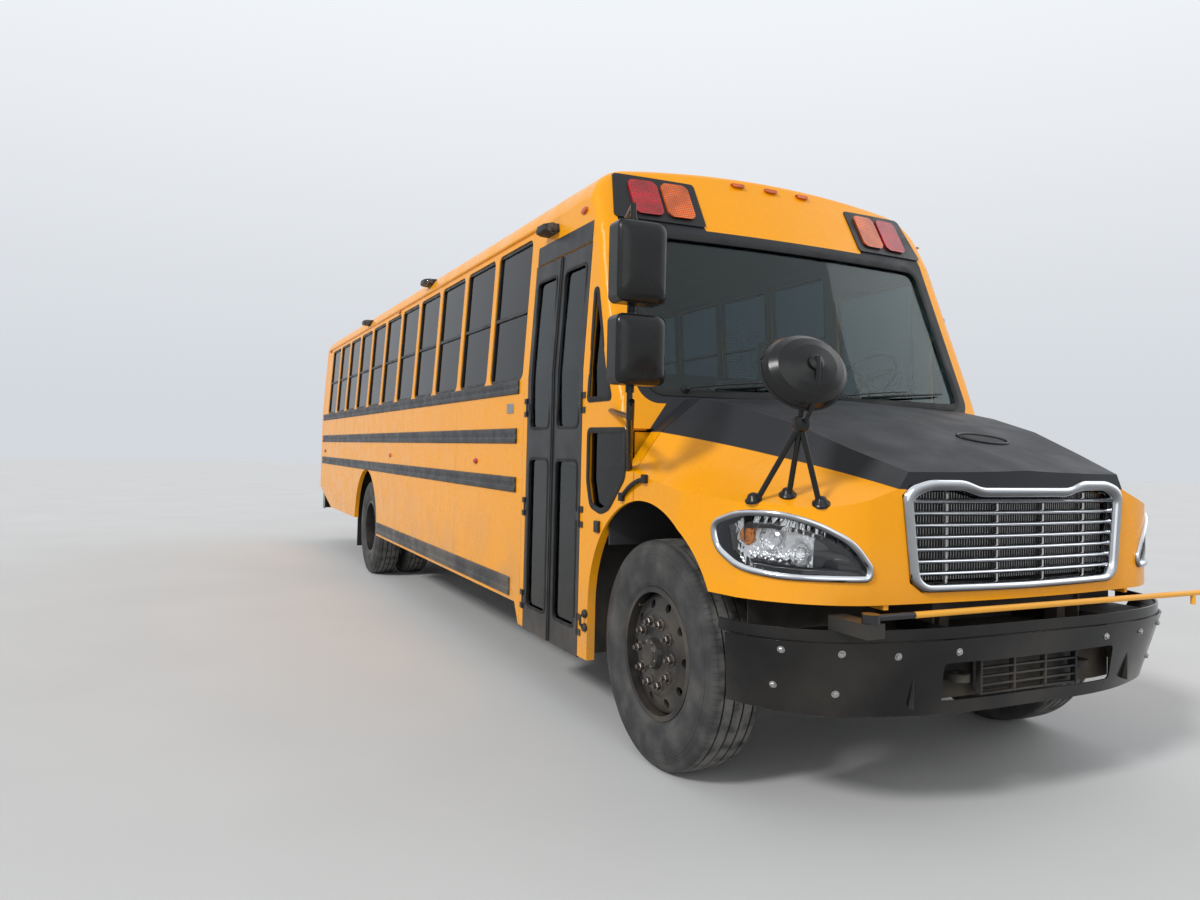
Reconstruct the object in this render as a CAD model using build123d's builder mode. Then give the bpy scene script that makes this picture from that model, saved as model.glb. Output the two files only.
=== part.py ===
"""A full-size conventional school bus as separate pieces, in millimetres.

The nose points along -Y, the entrance door is on the -X side and +Z is up. The origin is on
the ground under the middle of the whole bus. Lengths along the bus are written as stations,
measured rearwards from a plane just behind the front bumper's face, and at(station) turns one into Y.
"""
import os
from math import cos, radians, sin, sqrt

from build123d import *

os.makedirs("parts", exist_ok=True)

# Whole body
body_width = 2438
belt_height = 1860
eave_height = 2800
crown_height = 3055
eave_inset = 56
shoulder_radius = 260
wall_thickness = 45
roof_thickness = 40
skirt_height = 480
floor_top = 1040
floor_thickness = 40
panel_gap = 8
corner_radius = 64

# Stations from front to rear
front_axle_station = 1054
wheelbase = 6579
hood_seam_station = 1166
front_cap_end_station = 1740
door_front_station = 1766
door_width = 817
door_post = 62
window_pitch = 723.9
window_count = 11
rear_corner_length = 330
rear_cap_length = 262
bumper_projection = 140
arm_standoff = 92

half = body_width / 2
rear_axle_station = front_axle_station + wheelbase
door_rear_station = door_front_station + door_width
first_post_station = door_rear_station + door_post
last_post_station = first_post_station + window_count * window_pitch
rear_cap_station = last_post_station + rear_corner_length
rear_face_station = rear_cap_station + rear_cap_length
rear_end_station = rear_face_station + bumper_projection
middle_station = (rear_end_station - arm_standoff) / 2

# Wheels
tyre_radius = 515
tyre_width = 279
tyre_bead_radius = 287
wheel_centre_out = 1035
dual_spacing = 332
axle_height = tyre_radius
seat_gap = 0.3
kingpin_out = 890

# Windscreen and the front face of the body, which lean back together
screen_base_station = 1262
screen_base_height = 1690
screen_slope = 0.38
header_height = 2640
header_slope = 0.56
screen_sweep_radius = 8500
screen_bottom = 1724
screen_top = 2600
screen_half_bottom = 1052
screen_half_top = 1000
screen_corner = 70
glass_thickness = 6
glass_recess = 14

# Side windows
window_top = 2748
window_half_gap = 38
window_corner = 55
sash_width = 22

# Entrance door
door_bottom = 345
door_top = 2545
leaf_thickness = 40
leaf_gap = 6
leaf_centre_gap = 22

# Rear emergency door
rear_door_width = 690
rear_door_bottom = 985
rear_door_top = 2520

# Wheel arches, centre behind the front axle, centre height, radius
front_arch_offset = 31
front_arch_height = 640
front_arch_radius = 564
rear_arch_radius = 640

# Hood
hood_skin = 14
nose_bottom = 870
hinge_station = 130
hinge_height = 880
hinge_pin = 14
hood_lug_in = 690
hood_lug_out = 712

# Chassis
rail_out = 432
rail_height = 260
rail_top = 958
rail_flange = 80
rail_web = 10


def at(station):
    """Y of a station."""
    return station - middle_station


def across(station):
    """The XZ plane at a station. Extruding by a negative amount runs rearwards."""
    return Plane.XZ.offset(-at(station))


def side_lean(height):
    """How far the wall stands in from its full half width at a height."""
    if height <= belt_height:
        return 0
    return eave_inset * (height - belt_height) / (eave_height - belt_height)


def crown_radius(eave_half, radius, eave, crown):
    """Radius of the roof's middle arc, tangent to the two shoulder arcs."""
    start = radians(14)
    centre_x = eave_half - radius * cos(start)
    centre_z = eave - radius * sin(start)
    drop = crown - centre_z
    return (centre_x**2 + drop**2 - radius**2) / (2 * (drop - radius))


def roof_line(inset):
    """Eave, shoulder and crown arcs of the body's outline, moved inwards by inset."""
    start = radians(14)
    radius = shoulder_radius - inset
    centre_x = half - eave_inset - shoulder_radius * cos(start)
    centre_z = eave_height - shoulder_radius * sin(start)
    big = crown_radius(half - eave_inset, shoulder_radius, eave_height, crown_height) - inset
    big_z = crown_height - inset - big
    reach = sqrt(centre_x**2 + (centre_z - big_z) ** 2)
    tangent_x = centre_x * big / reach
    tangent_z = big_z + (centre_z - big_z) * big / reach
    tip_x = centre_x + radius * cos(start)
    tip_z = centre_z + radius * sin(start)
    mid = (start + radians(90)) / 2
    mid_x = centre_x + radius * cos(mid)
    mid_z = centre_z + radius * sin(mid)
    return (tip_x, tip_z), (mid_x, mid_z), (tangent_x, tangent_z), crown_height - inset


def body_block(inset, bottom, station, length):
    """The body's outline, moved inwards by inset, extruded rearwards from a station."""
    tip, mid, tangent, top = roof_line(inset)
    with BuildPart(mode=Mode.PRIVATE) as block:
        with BuildSketch(across(station)):
            with BuildLine():
                Line((-half + inset, bottom), (half - inset, bottom))
                Line((half - inset, bottom), (half - inset, belt_height))
                Line((half - inset, belt_height), tip)
                ThreePointArc(tip, mid, tangent)
                ThreePointArc(tangent, (0, top), (-tangent[0], tangent[1]))
                ThreePointArc((-tangent[0], tangent[1]), (-mid[0], mid[1]), (-tip[0], tip[1]))
                Line((-tip[0], tip[1]), (-half + inset, belt_height))
                Line((-half + inset, belt_height), (-half + inset, bottom))
            make_face()
        extrude(amount=-length)
    return block.part


def lean_behind(set_back, pivot_station, pivot_height, slope):
    """Everything behind a swept face that leans back by slope about a height."""
    low = 200
    rise = 3200
    length = 4000
    start = at(pivot_station + slope * (low - pivot_height) + set_back)
    sweep = 1500**2 / (2 * screen_sweep_radius)
    with BuildPart(mode=Mode.PRIVATE) as prism:
        with BuildSketch(Plane.XY.offset(low)):
            with BuildLine():
                ThreePointArc((-1500, start + sweep), (0, start), (1500, start + sweep))
                Polyline((1500, start + sweep), (1500, start + length), (-1500, start + length),
                         (-1500, start + sweep))
            make_face()
        extrude(amount=rise * sqrt(1 + slope**2), dir=(0, slope, 1))
    return prism.part


def leaning_prism(set_back):
    """Everything behind the windscreen's face and the steeper header above it."""
    header_station = screen_base_station + screen_slope * (header_height - screen_base_height)
    screen = lean_behind(set_back, header_station, header_height, screen_slope)
    return screen & lean_behind(set_back, header_station, header_height, header_slope)


def box_between(low, high):
    """A box from its low corner to its high corner, given as (x, station, z)."""
    size = [b - a for a, b in zip(low, high)]
    middle = ((low[0] + high[0]) / 2, at((low[1] + high[1]) / 2), (low[2] + high[2]) / 2)
    return Pos(*middle) * Box(*size, mode=Mode.PRIVATE)


def finish(name, part):
    """Label a piece and write it."""
    part.label = name
    export_step(part, f"parts/{name}.step")


def side_cylinder(station, height, radius, low_x, high_x):
    """A cylinder along X between two x values."""
    return Pos((low_x + high_x) / 2, at(station), height) * Rot(0, 90, 0) * Cylinder(
        radius, high_x - low_x, mode=Mode.PRIVATE)


def tube(start, end, radius):
    """A round bar between two (x, station, z) points."""
    a = Vector(start[0], at(start[1]), start[2])
    b = Vector(end[0], at(end[1]), end[2])
    return Plane(origin=a, z_dir=b - a) * Cylinder(
        radius, (b - a).length, align=(Align.CENTER, Align.CENTER, Align.MIN), mode=Mode.PRIVATE)


def extruded(plane, points, length, radius, inset):
    """A polygon on a plane, its corners rounded, moved inwards by inset and extruded."""
    with BuildPart(mode=Mode.PRIVATE) as block:
        with BuildSketch(plane) as outline:
            with BuildLine():
                Polyline(*points, close=True)
            make_face()
            if radius:
                fillet(outline.vertices(), radius)
            if inset:
                offset(amount=-inset, mode=Mode.REPLACE)
        extrude(amount=length)
    return block.part


def profile_x(points, low_x, high_x, radius=0, inset=0):
    """A (station, z) polygon extruded from low_x to high_x."""
    flat = [(at(station), height) for station, height in points]
    return extruded(Plane.YZ.offset(low_x), flat, high_x - low_x, radius, inset)


def profile_y(points, start, stop, radius=0, inset=0):
    """An (x, z) polygon extruded from the station start to the station stop."""
    return extruded(across(start), points, start - stop, radius, inset)


def profile_z(points, low, high, radius=0, inset=0):
    """An (x, station) polygon extruded from the height low to the height high."""
    flat = [(x, at(station)) for x, station in points]
    return extruded(Plane.XY.offset(low), flat, high - low, radius, inset)


def both_sides(part):
    """A piece and its mirror image."""
    return part + part.mirror(Plane.YZ)


def revolved(points, axis_out):
    """An (along axis, radius) polygon turned about X at the origin."""
    with BuildPart(mode=Mode.PRIVATE) as body:
        with BuildSketch(Plane.XZ):
            with BuildLine():
                Polyline(*points, close=True)
            make_face()
        revolve(axis=Axis.X)
    return body.part if axis_out > 0 else body.part.mirror(Plane.YZ)


# Hood sections: station, middle height, shoulder x and z, colour break x and z, crease x and z
hood_sections = [
    (30, 1385, 600, 1362, 640, 1300, 1219, 1075),
    (300, 1487, 690, 1459, 735, 1361, 1219, 1205),
    (600, 1600, 760, 1570, 855, 1428, 1219, 1240),
    (900, 1676, 815, 1646, 974, 1480, 1219, 1290),
    (1166, 1720, 865, 1692, 1080, 1524, 1219, 1330),
]
hood_floor = 300


def hood_section(row, inset):
    """Rounded upper outline of the hood at one station, moved inwards by inset."""
    station, middle, shoulder_x, shoulder_z, break_x, break_z, crease_x, crease_z = row
    right = [(crease_x - inset, hood_floor), (crease_x - inset, crease_z - inset),
             (break_x - inset, break_z - inset), (shoulder_x - inset, shoulder_z - inset)]
    left = [(-x, z) for x, z in reversed(right)]
    with BuildSketch(across(station), mode=Mode.PRIVATE) as outline:
        with BuildLine():
            Polyline(*right, (0, middle - inset), *left, close=True)
        make_face()
        low_corners = outline.vertices().group_by(Axis.Z)[0]
        fillet([v for v in outline.vertices() if v not in low_corners], 60)
    return outline.sketch


def hood_block(inset):
    """The hood's solid shape through its sections."""
    with BuildPart(mode=Mode.PRIVATE) as block:
        for row in hood_sections:
            add(hood_section(row, inset))
        loft(ruled=True)
    return block.part


# Front cap: windscreen surround, pillars, cowl sides and the roof's front, down to the sill
cap_low = 355
cap_start_station = hood_seam_station + panel_gap
cowl_end_station = 1500
cap_roof_end_station = 2120
cap_split_height = 2612
quarter_window = [(1430, 1690), (1693, 1690), (1686, 2270), (1653, 2270)]
quarter_corner = 14
vision_window = [(1264, 1531), (1682, 1535), (1681, 1276), (1637, 1149), (1518, 1122),
                 (1428, 1148), (1264, 1307)]


def side_cut(points, radius, inset=0):
    """A rounded polygon of (station, z) points, cut through the body from side to side."""
    return profile_x(points, -half - 200, half + 200, radius, inset)


def cowl_block(inset):
    """The hood's last section carried rearwards under the windscreen."""
    with BuildPart(mode=Mode.PRIVATE) as block:
        add(hood_section((cap_start_station - inset,) + hood_sections[-1][1:], inset))
        extrude(amount=cowl_end_station - cap_start_station + inset, dir=(0, 1, 0))
    return block.part


def screen_prism(inset):
    """The windscreen's outline, moved inwards by inset and run rearwards."""
    low = screen_bottom + inset
    high = screen_top - inset
    with BuildPart(mode=Mode.PRIVATE) as prism:
        with BuildSketch(across(hood_seam_station)) as opening:
            with BuildLine():
                Polyline((-screen_half_bottom + inset, low), (screen_half_bottom - inset, low),
                         (screen_half_top - inset, high), (-screen_half_top + inset, high),
                         close=True)
            make_face()
            fillet(opening.vertices(), screen_corner - inset)
        extrude(amount=-1200)
    return prism.part


def front_shell(inset):
    """The front cap's leaning shape with rounded edges, moved inwards by inset."""
    start = 300
    length = cap_roof_end_station + inset - start
    with BuildPart(mode=Mode.PRIVATE) as shell:
        add(body_block(inset, hood_floor, start, length) & leaning_prism(inset))
        if inset > hood_skin:
            return shell.part
        leaning = shell.faces().filter_by(
            lambda f: f.center().Y < at(1800) and f.normal_at().Y < -0.5 and f.area > 1e5)
        rim = [e for f in leaning for e in f.edges() if e.center().Z > 800
               and (abs(e.center().X) > 200 or e.center().Z > 2900)]
        fillet(rim, corner_radius - inset)
    return shell.part


def front_cap_cuts():
    """What bounds the front cap: hood seam, sill, rear edge, arch and driver's side skirt."""
    arch = front_axle_station + front_arch_offset
    return [
        box_between((-1400, 0, 0), (1400, cap_start_station, 3300)),
        box_between((-1400, 0, 0), (1400, 3000, cap_low)),
        box_between((-1400, front_cap_end_station, 0), (1400, 3000, cap_split_height)),
        side_cylinder(arch, front_arch_height, front_arch_radius, -1400, 1400),
        box_between((-1400, 500, 0), (1400, arch + front_arch_radius, front_arch_height)),
        box_between((0, 0, 0), (1400, 2000, skirt_height)),
    ]


cowl_shell_start = 1300
cowl_shell_top = 1540
cap_inside = front_shell(wall_thickness)
cap_shell = front_shell(0) - cap_inside
for points in (quarter_window, vision_window):
    cap_shell -= side_cut(points, quarter_corner)
cap_shell -= screen_prism(0)
cap_shell -= box_between((-1400, 0, 0), (1400, cowl_shell_start, cowl_shell_top))
cowl_skin = cowl_block(0) - cap_inside - cowl_block(hood_skin)
cowl_skin -= side_cut(vision_window, quarter_corner)
for cut in front_cap_cuts():
    cap_shell -= cut
    cowl_skin -= cut
finish("front_cap", (cap_shell - cowl_block(0)) + cowl_skin)

# Hood with its fenders, one skin, open below and at the grille and lamps
nose_plan = [(0, 34), (777, 85), (1010, 206), (1155, 419), (1192, 557), (1219, 760)]


def nose_prism(set_back):
    """Everything behind the nose's curved front in plan."""
    x1, s1 = nose_plan[1]
    x2, s2 = nose_plan[2]
    x3, s3 = nose_plan[3]
    x5, s5 = nose_plan[5]
    with BuildPart(mode=Mode.PRIVATE) as prism:
        with BuildSketch(Plane.XY.offset(hood_floor - 50)):
            with BuildLine():
                ThreePointArc((-x1, at(s1 + set_back)), (0, at(nose_plan[0][1] + set_back)),
                              (x1, at(s1 + set_back)))
                ThreePointArc((x1, at(s1 + set_back)), (x2 - set_back * 0.6, at(s2 + set_back * 0.8)),
                              (x3 - set_back, at(s3)))
                Polyline((x3 - set_back, at(s3)), (x5 - set_back, at(s5)),
                         (x5 - set_back, at(2000)), (-x5 + set_back, at(2000)),
                         (-x5 + set_back, at(s5)), (-x3 + set_back, at(s3)))
                ThreePointArc((-x3 + set_back, at(s3)),
                              (-x2 + set_back * 0.6, at(s2 + set_back * 0.8)),
                              (-x1, at(s1 + set_back)))
            make_face()
        extrude(amount=1600)
    return prism.part


def hood_solid(inset):
    """Hood shape as a filled solid."""
    return hood_block(inset) & nose_prism(inset)


# Grille opening as (x, z) of its right half
grille_half = [(0, 1318), (258, 1318), (345, 1347), (520, 1347), (606, 1322), (640, 1285),
               (600, 950), (545, 912), (0, 908)]
headlamp_outline = [(1180, 1151), (1150, 1204), (1064, 1208), (965, 1176), (842, 1105),
                    (773, 1008), (782, 967), (919, 967), (1062, 967), (1148, 986), (1175, 1053)]
headlamp_depth = 75


def mirrored(points):
    """A symmetric outline from the (x, z) points of its right half."""
    return points + [(-x, z) for x, z in reversed(points) if x > 0]


def through_nose(points, radius, inset=0):
    """A rounded (x, z) outline run rearwards through the nose."""
    return profile_y(points, -200, 700, radius, inset)


grille_prism = through_nose(mirrored(grille_half), 8)
arch_station = front_axle_station + front_arch_offset
hood_outer = hood_solid(0)
with BuildPart() as hood:
    add(hood_outer)
    add(hood_solid(hood_skin), mode=Mode.SUBTRACT)
    add(box_between((-1400, -200, 0), (1400, 2000, nose_bottom)), mode=Mode.SUBTRACT)
    add(side_cylinder(arch_station, front_arch_height, front_arch_radius, -1400, 1400),
        mode=Mode.SUBTRACT)
    add(grille_prism, mode=Mode.SUBTRACT)
    add(both_sides(through_nose(headlamp_outline, 6)), mode=Mode.SUBTRACT)
    lug = profile_x([(60, 850), (162, 850), (162, 915), (60, 915)], hood_lug_in, hood_lug_out, 10)
    lug -= side_cylinder(hinge_station, hinge_height, hinge_pin + seat_gap, 0, 1000)
    add(both_sides(lug & hood_solid(hood_skin / 2)))
finish("hood", hood.part)

# Grille: a framed surround with level bars, seated in the hood's opening
grille_bars = 6
grille_bar_height = 24
grille_bar_depth = 30
grille_top_bar = 1252
grille_low_bar = 964
grille_depth = 55
grille_inner = [(0, 1276), (250, 1276), (345, 1300), (510, 1300), (566, 1280), (586, 1262),
                (556, 975), (520, 950), (0, 946)]
with BuildPart() as grille:
    add((nose_prism(-12) & through_nose(mirrored(grille_half), 8, seat_gap))
        - nose_prism(grille_depth) - through_nose(mirrored(grille_inner), 8))
    bar_zone = through_nose(mirrored(grille_inner), 8) & nose_prism(6)
    for i in range(grille_bars):
        height = grille_low_bar + i * (grille_top_bar - grille_low_bar) / (grille_bars - 1)
        bar = box_between((-700, 0, height - grille_bar_height / 2),
                          (700, 200, height + grille_bar_height / 2))
        add((bar & bar_zone) - nose_prism(6 + grille_bar_depth))
    for x in (-400, -134, 134, 400):
        post = box_between((x - 6, 0, 900), (x + 6, 200, 1330))
        add((post & bar_zone & nose_prism(20)) - nose_prism(40))
finish("grille", grille.part)

# Headlamps: bodies that fill the nose's openings, each with a pocket for its lens
lens_border = 14
lens_depth = 22
lamp_front = nose_prism(-4) & hood_block(seat_gap)
lens_outline = through_nose(headlamp_outline, 6, lens_border)
with BuildPart() as headlamps:
    body = (lamp_front & through_nose(headlamp_outline, 6, seat_gap)) - nose_prism(headlamp_depth)
    body -= lens_outline - nose_prism(lens_depth)
    add(both_sides(body))
finish("headlamps", headlamps.part)
with BuildPart() as headlamp_lenses:
    lens = (lamp_front & through_nose(headlamp_outline, 6, lens_border + seat_gap))
    add(both_sides(lens - nose_prism(lens_depth - seat_gap)))
finish("headlamp_lenses", headlamp_lenses.part)

# Crossview mirror on its tripod, on the entrance side: its centre, the fork under it, its feet
crossview_centre = (1040, 150, 1736)
crossview_fork = (1046, 170, 1545)
crossview_feet = [(1115, 362, 1228), (938, 178, 1222), (1004, 296, 1240)]
crossview_half_width = 176
crossview_half_height = 146
crossview_rings = [(0, 1), (14, 1), (40, 0.93), (64, 0.78), (82, 0.55), (94, 0.22)]
leg_radius = 11
with BuildPart() as crossview_mirror:
    with BuildPart(mode=Mode.PRIVATE) as dome:
        for depth, share in crossview_rings:
            with BuildSketch(Plane.XY.offset(depth)):
                Ellipse(crossview_half_width * share, crossview_half_height * share)
        loft(ruled=True)
    lifted_hood = hood_outer.moved(Location((0, 0, seat_gap)))
    x, station, height = crossview_centre
    fork_x, fork_station, fork_height = crossview_fork
    dome_plane = Plane(origin=(x, at(station) + 20, height), x_dir=(1, 0, 0),
                       z_dir=(0.12, -0.94, 0.32))
    legs = Pos(fork_x, at(fork_station), fork_height) * Cylinder(26, 34, mode=Mode.PRIVATE)
    for foot in crossview_feet:
        root = [a + 0.045 * (b - a) for a, b in zip(crossview_fork, foot)]
        legs += tube(root, foot, leg_radius) - lifted_hood
    legs += tube((x, station + 10, height), (fork_x, fork_station, fork_height + 14), leg_radius)
    add((legs + dome_plane.location * dome.part).mirror(Plane.YZ))
finish("crossview_mirror", crossview_mirror.part)

# Windscreen
with BuildPart() as windscreen:
    add((leaning_prism(glass_recess) - leaning_prism(glass_recess + glass_thickness))
        & screen_prism(seat_gap))
finish("windscreen", windscreen.part)

# Hinge knuckles: each moving strap carries the middle one of three on its axis
knuckle_radius = 5.5
knuckle_length = 46
strap_thick = 5
strap_reach = 42


def hinge_strap(x, station, height, toward, along, low, high):
    """A barrel on a hinge axis and the strap that ties it to a leaf or a post."""
    barrel = Pos(x, at(station), (low + high) / 2) * Cylinder(
        knuckle_radius, high - low, mode=Mode.PRIVATE)
    if along == "station":
        ends = sorted((station, station + toward * strap_reach))
        strap = box_between((x, ends[0], low), (x + strap_thick, ends[1], high))
    else:
        ends = sorted((x, x + toward * strap_reach))
        strap = box_between((ends[0], station - strap_thick, low), (ends[1], station, high))
    return barrel + strap


def leaf_straps(x, station, toward, along, heights):
    """The moving middle knuckles of one hinge."""
    return [hinge_strap(x, station, z, toward, along, z - knuckle_length / 2,
                        z + knuckle_length / 2) for z in heights]


def post_straps(x, station, toward, along, heights):
    """The fixed outer knuckles of one hinge."""
    straps = []
    for z in heights:
        for sign in (-1, 1):
            near = z + sign * (knuckle_length / 2 + seat_gap)
            far = z + sign * (knuckle_length * 1.2)
            straps.append(hinge_strap(x, station, z, toward, along, min(near, far),
                                      max(near, far)))
    return straps


# Side walls. Skirt line of the door side as station and height, front to rear
rear_skirt = 572
knee_station = rear_axle_station + 2417
tail_skirt = 799
driver_window = (1830, 2560, 1790, 2570)


def window_rect(index, inset):
    """Station and height limits of one passenger window, moved inwards by inset."""
    start = first_post_station + index * window_pitch + window_half_gap + inset
    stop = first_post_station + (index + 1) * window_pitch - window_half_gap - inset
    return start, stop, belt_height + inset, window_top - inset


def rect_cut(limits, radius=0):
    """A rounded upright rectangle cut through the body from side to side."""
    start, stop, low, high = limits
    return side_cut([(start, low), (stop, low), (stop, high), (start, high)], radius)


def skin(inset, thickness, start, stop, low, high, side):
    """A stretch of wall on one side, between two insets and two heights."""
    length = stop - start
    shell = body_block(inset, low - 50, start, length)
    shell -= body_block(inset + thickness, low - 100, start - 5, length + 10)
    keep = box_between((min(0, side * 1400), start - 1, low), (max(0, side * 1400), stop + 1, high))
    return shell & keep


def side_wall(side, extra_cuts):
    """One side wall with its windows, arch and skirt line."""
    start = front_cap_end_station
    wall = skin(0, wall_thickness, start, rear_cap_station, cap_low, eave_height, side)
    cuts = [rect_cut(window_rect(i, 0), window_corner) for i in range(window_count)]
    cuts.append(side_cylinder(rear_axle_station, axle_height, rear_arch_radius, -1400, 1400))
    cuts.append(box_between((-1400, rear_axle_station - rear_arch_radius, 0),
                            (1400, rear_axle_station + rear_arch_radius, axle_height)))
    cuts.append(box_between((-1400, start - 5, cap_split_height),
                            (1400, cap_roof_end_station, 3000)))
    cuts.append(side_cut([(rear_axle_station, 0), (20000, 0), (20000, tail_skirt),
                          (rear_cap_station, tail_skirt - 20), (knee_station, rear_skirt),
                          (rear_axle_station, rear_skirt)], 0))
    cuts.extend(extra_cuts)
    for cut in cuts:
        wall -= cut
    return wall


def low_cut(points):
    """A side cut below a line of (station, height) points."""
    first, last = points[0][0], points[-1][0]
    return side_cut([(first, 100)] + points + [(last, 100)], 0)


front_skirt = [(door_rear_station, 330), (door_rear_station + 60, 330),
               (door_rear_station + 150, skirt_height), (rear_axle_station, skirt_height)]
with BuildPart() as right_wall:
    add(side_wall(-1, [
        rect_cut((door_front_station, door_rear_station, 100, door_top), 0),
        low_cut(front_skirt)]))
finish("right_wall", right_wall.part)
with BuildPart() as left_wall:
    add(side_wall(1, [
        rect_cut(driver_window, window_corner),
        low_cut([(1500, skirt_height), (rear_axle_station, skirt_height)])]))
finish("left_wall", left_wall.part)

# Roof between the caps
with BuildPart() as roof:
    roof_length = rear_cap_station - cap_roof_end_station
    add(body_block(0, 1000, cap_roof_end_station, roof_length)
        - body_block(roof_thickness, 900, cap_roof_end_station - 5, roof_length + 10))
    split(bisect_by=Plane.XY.offset(eave_height), keep=Keep.TOP)
finish("roof", roof.part)

# Rear cap: the wall across the back with its door opening and windows
rear_window = (430, 1000, 1880, 2560)
rear_corner = 110


def rear_shell(inset):
    """The rear cap's rounded shape, moved inwards by inset."""
    length = rear_cap_length - inset
    block = body_block(inset, tail_skirt - inset, rear_cap_station - inset, length + inset)
    back = block.faces().sort_by(Axis.Y)[-1]
    rim = [e for e in back.edges() if e.center().Z > tail_skirt + 100]
    return block.fillet(max(rear_corner - inset, 20), rim)


def upright_cut(low_x, high_x, low_z, high_z, radius, inset=0):
    """A rounded rectangle run rearwards through the rear wall."""
    corners = [(low_x, low_z), (high_x, low_z), (high_x, high_z), (low_x, high_z)]
    start = rear_cap_station + 20
    return profile_y(corners, start, start + rear_cap_length, radius, inset)


rear_half_door = rear_door_width / 2
emergency_hinge = (-rear_half_door + 3, rear_face_station + 5)
emergency_hinge_heights = (1130, 1760, 2440)
with BuildPart() as rear_wall:
    add(rear_shell(0))
    add(rear_shell(wall_thickness), mode=Mode.SUBTRACT)
    add(box_between((-1100, rear_cap_station - 10, 700),
                    (1100, rear_face_station - wall_thickness, tail_skirt + 50)), mode=Mode.SUBTRACT)
    add(upright_cut(-rear_half_door, rear_half_door, rear_door_bottom, rear_door_top, 0),
        mode=Mode.SUBTRACT)
    for side in (-1, 1):
        xs = sorted((side * rear_window[0], side * rear_window[1]))
        add(upright_cut(*xs, rear_window[2], rear_window[3], window_corner), mode=Mode.SUBTRACT)
finish("rear_wall", rear_wall.part)

# Rear emergency door, hinged at the curb side
door_clearance = 6
rear_leaf_half = rear_half_door - door_clearance
rear_panes = [(1880, 2420), (1200, 1640)]
pane_border = 90
with BuildPart() as rear_door:
    add(box_between((-rear_leaf_half, rear_face_station - wall_thickness,
                     rear_door_bottom + door_clearance),
                    (rear_leaf_half, rear_face_station, rear_door_top - door_clearance)))
    for low, high in rear_panes:
        add(upright_cut(-rear_leaf_half + pane_border, rear_leaf_half - pane_border, low, high, 40),
            mode=Mode.SUBTRACT)
    add(leaf_straps(*emergency_hinge, 1, "x", emergency_hinge_heights))
finish("rear_door", rear_door.part)
with BuildPart() as rear_door_glass:
    slab = box_between((-rear_leaf_half, rear_face_station - 25, 1000),
                       (rear_leaf_half, rear_face_station - 25 + glass_thickness, 2500))
    for low, high in rear_panes:
        add(slab & upright_cut(-rear_leaf_half + pane_border + seat_gap,
                               rear_leaf_half - pane_border - seat_gap,
                               low + seat_gap, high - seat_gap, 40 - seat_gap))
finish("rear_door_glass", rear_door_glass.part)

# Window sashes and fixed glass
sash_recess = 8
sash_depth = 28
pane_recess = 20
sash_split = 2295
with BuildPart() as window_sashes:
    for side in (-1, 1):
        band = skin(sash_recess, sash_depth, first_post_station, last_post_station,
                    belt_height - 20, window_top + 20, side)
        for i in range(window_count):
            frame = band & rect_cut(window_rect(i, seat_gap), window_corner - seat_gap)
            start, stop, low, high = window_rect(i, sash_width)
            frame -= rect_cut((start, stop, low, sash_split - sash_width / 2), 0)
            frame -= rect_cut((start, stop, sash_split + sash_width / 2, high), 0)
            add(frame)
finish("window_sashes", window_sashes.part)
with BuildPart() as window_glass:
    for side in (-1, 1):
        band = skin(pane_recess, glass_thickness, first_post_station, last_post_station,
                    belt_height - 20, window_top + 20, side)
        for i in range(window_count):
            start, stop, low, high = window_rect(i, sash_width + seat_gap)
            split_low = sash_split - sash_width / 2 - seat_gap
            split_high = sash_split + sash_width / 2 + seat_gap
            add(band & rect_cut((start, stop, low, split_low), 0))
            add(band & rect_cut((start, stop, split_high, high), 0))
        quarter = skin(pane_recess, glass_thickness, 1180, front_cap_end_station, 1100, 2400, side)
        add(quarter & side_cut(quarter_window, quarter_corner, seat_gap))
        add(quarter & side_cut(vision_window, quarter_corner, seat_gap))
        xs = sorted((side * (rear_window[0] + seat_gap), side * (rear_window[1] - seat_gap)))
        rear_slab = box_between((-1100, rear_face_station - 25, 1000),
                                (1100, rear_face_station - 25 + glass_thickness, 2700))
        add(rear_slab & upright_cut(*xs, rear_window[2] + seat_gap, rear_window[3] - seat_gap,
                                    window_corner - seat_gap))
    driver_band = skin(pane_recess, glass_thickness, front_cap_end_station, 2600,
                       1700, 2700, 1)
    start, stop, low, high = driver_window
    add(driver_band & side_cut([(start, low), (stop, low), (stop, high), (start, high)],
                               window_corner, seat_gap))
finish("window_glass", window_glass.part)

# Entrance door: two leaves that follow the wall's outline, each with two panes
leaf_width = (door_width - 2 * leaf_gap - leaf_centre_gap) / 2
leaf_panes = [(492, 1372), (1553, 2438)]
leaf_border = 48
leaf_pane_corner = 40
leaf_hinge_x = -half - strap_thick
leaf_hinge_heights = (520, 1080, 1680)
leaf_rows = [
    ("front", door_front_station + leaf_gap, door_front_station + leaf_gap / 2, 1),
    ("rear", door_rear_station - leaf_gap - leaf_width, door_rear_station - leaf_gap / 2, -1),
]
for name, start, hinge_line, toward in leaf_rows:
    leaf = skin(0, leaf_thickness, start, start + leaf_width, door_bottom, door_top - leaf_gap, -1)
    pane_slab = skin(14, glass_thickness, start, start + leaf_width, door_bottom, door_top, -1)
    panes = []
    for low, high in leaf_panes:
        limits = (start + leaf_border, start + leaf_width - leaf_border, low, high)
        opening = rect_cut(limits, leaf_pane_corner)
        leaf -= opening
        inner = (limits[0] + seat_gap, limits[1] - seat_gap, low + seat_gap, high - seat_gap)
        panes.append(pane_slab & rect_cut(inner, leaf_pane_corner - seat_gap))
    for strap in leaf_straps(leaf_hinge_x, hinge_line, toward, "station", leaf_hinge_heights):
        leaf += strap
    finish(f"door_{name}_leaf", leaf)
    finish(f"door_{name}_glass", Part() + panes)

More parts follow.
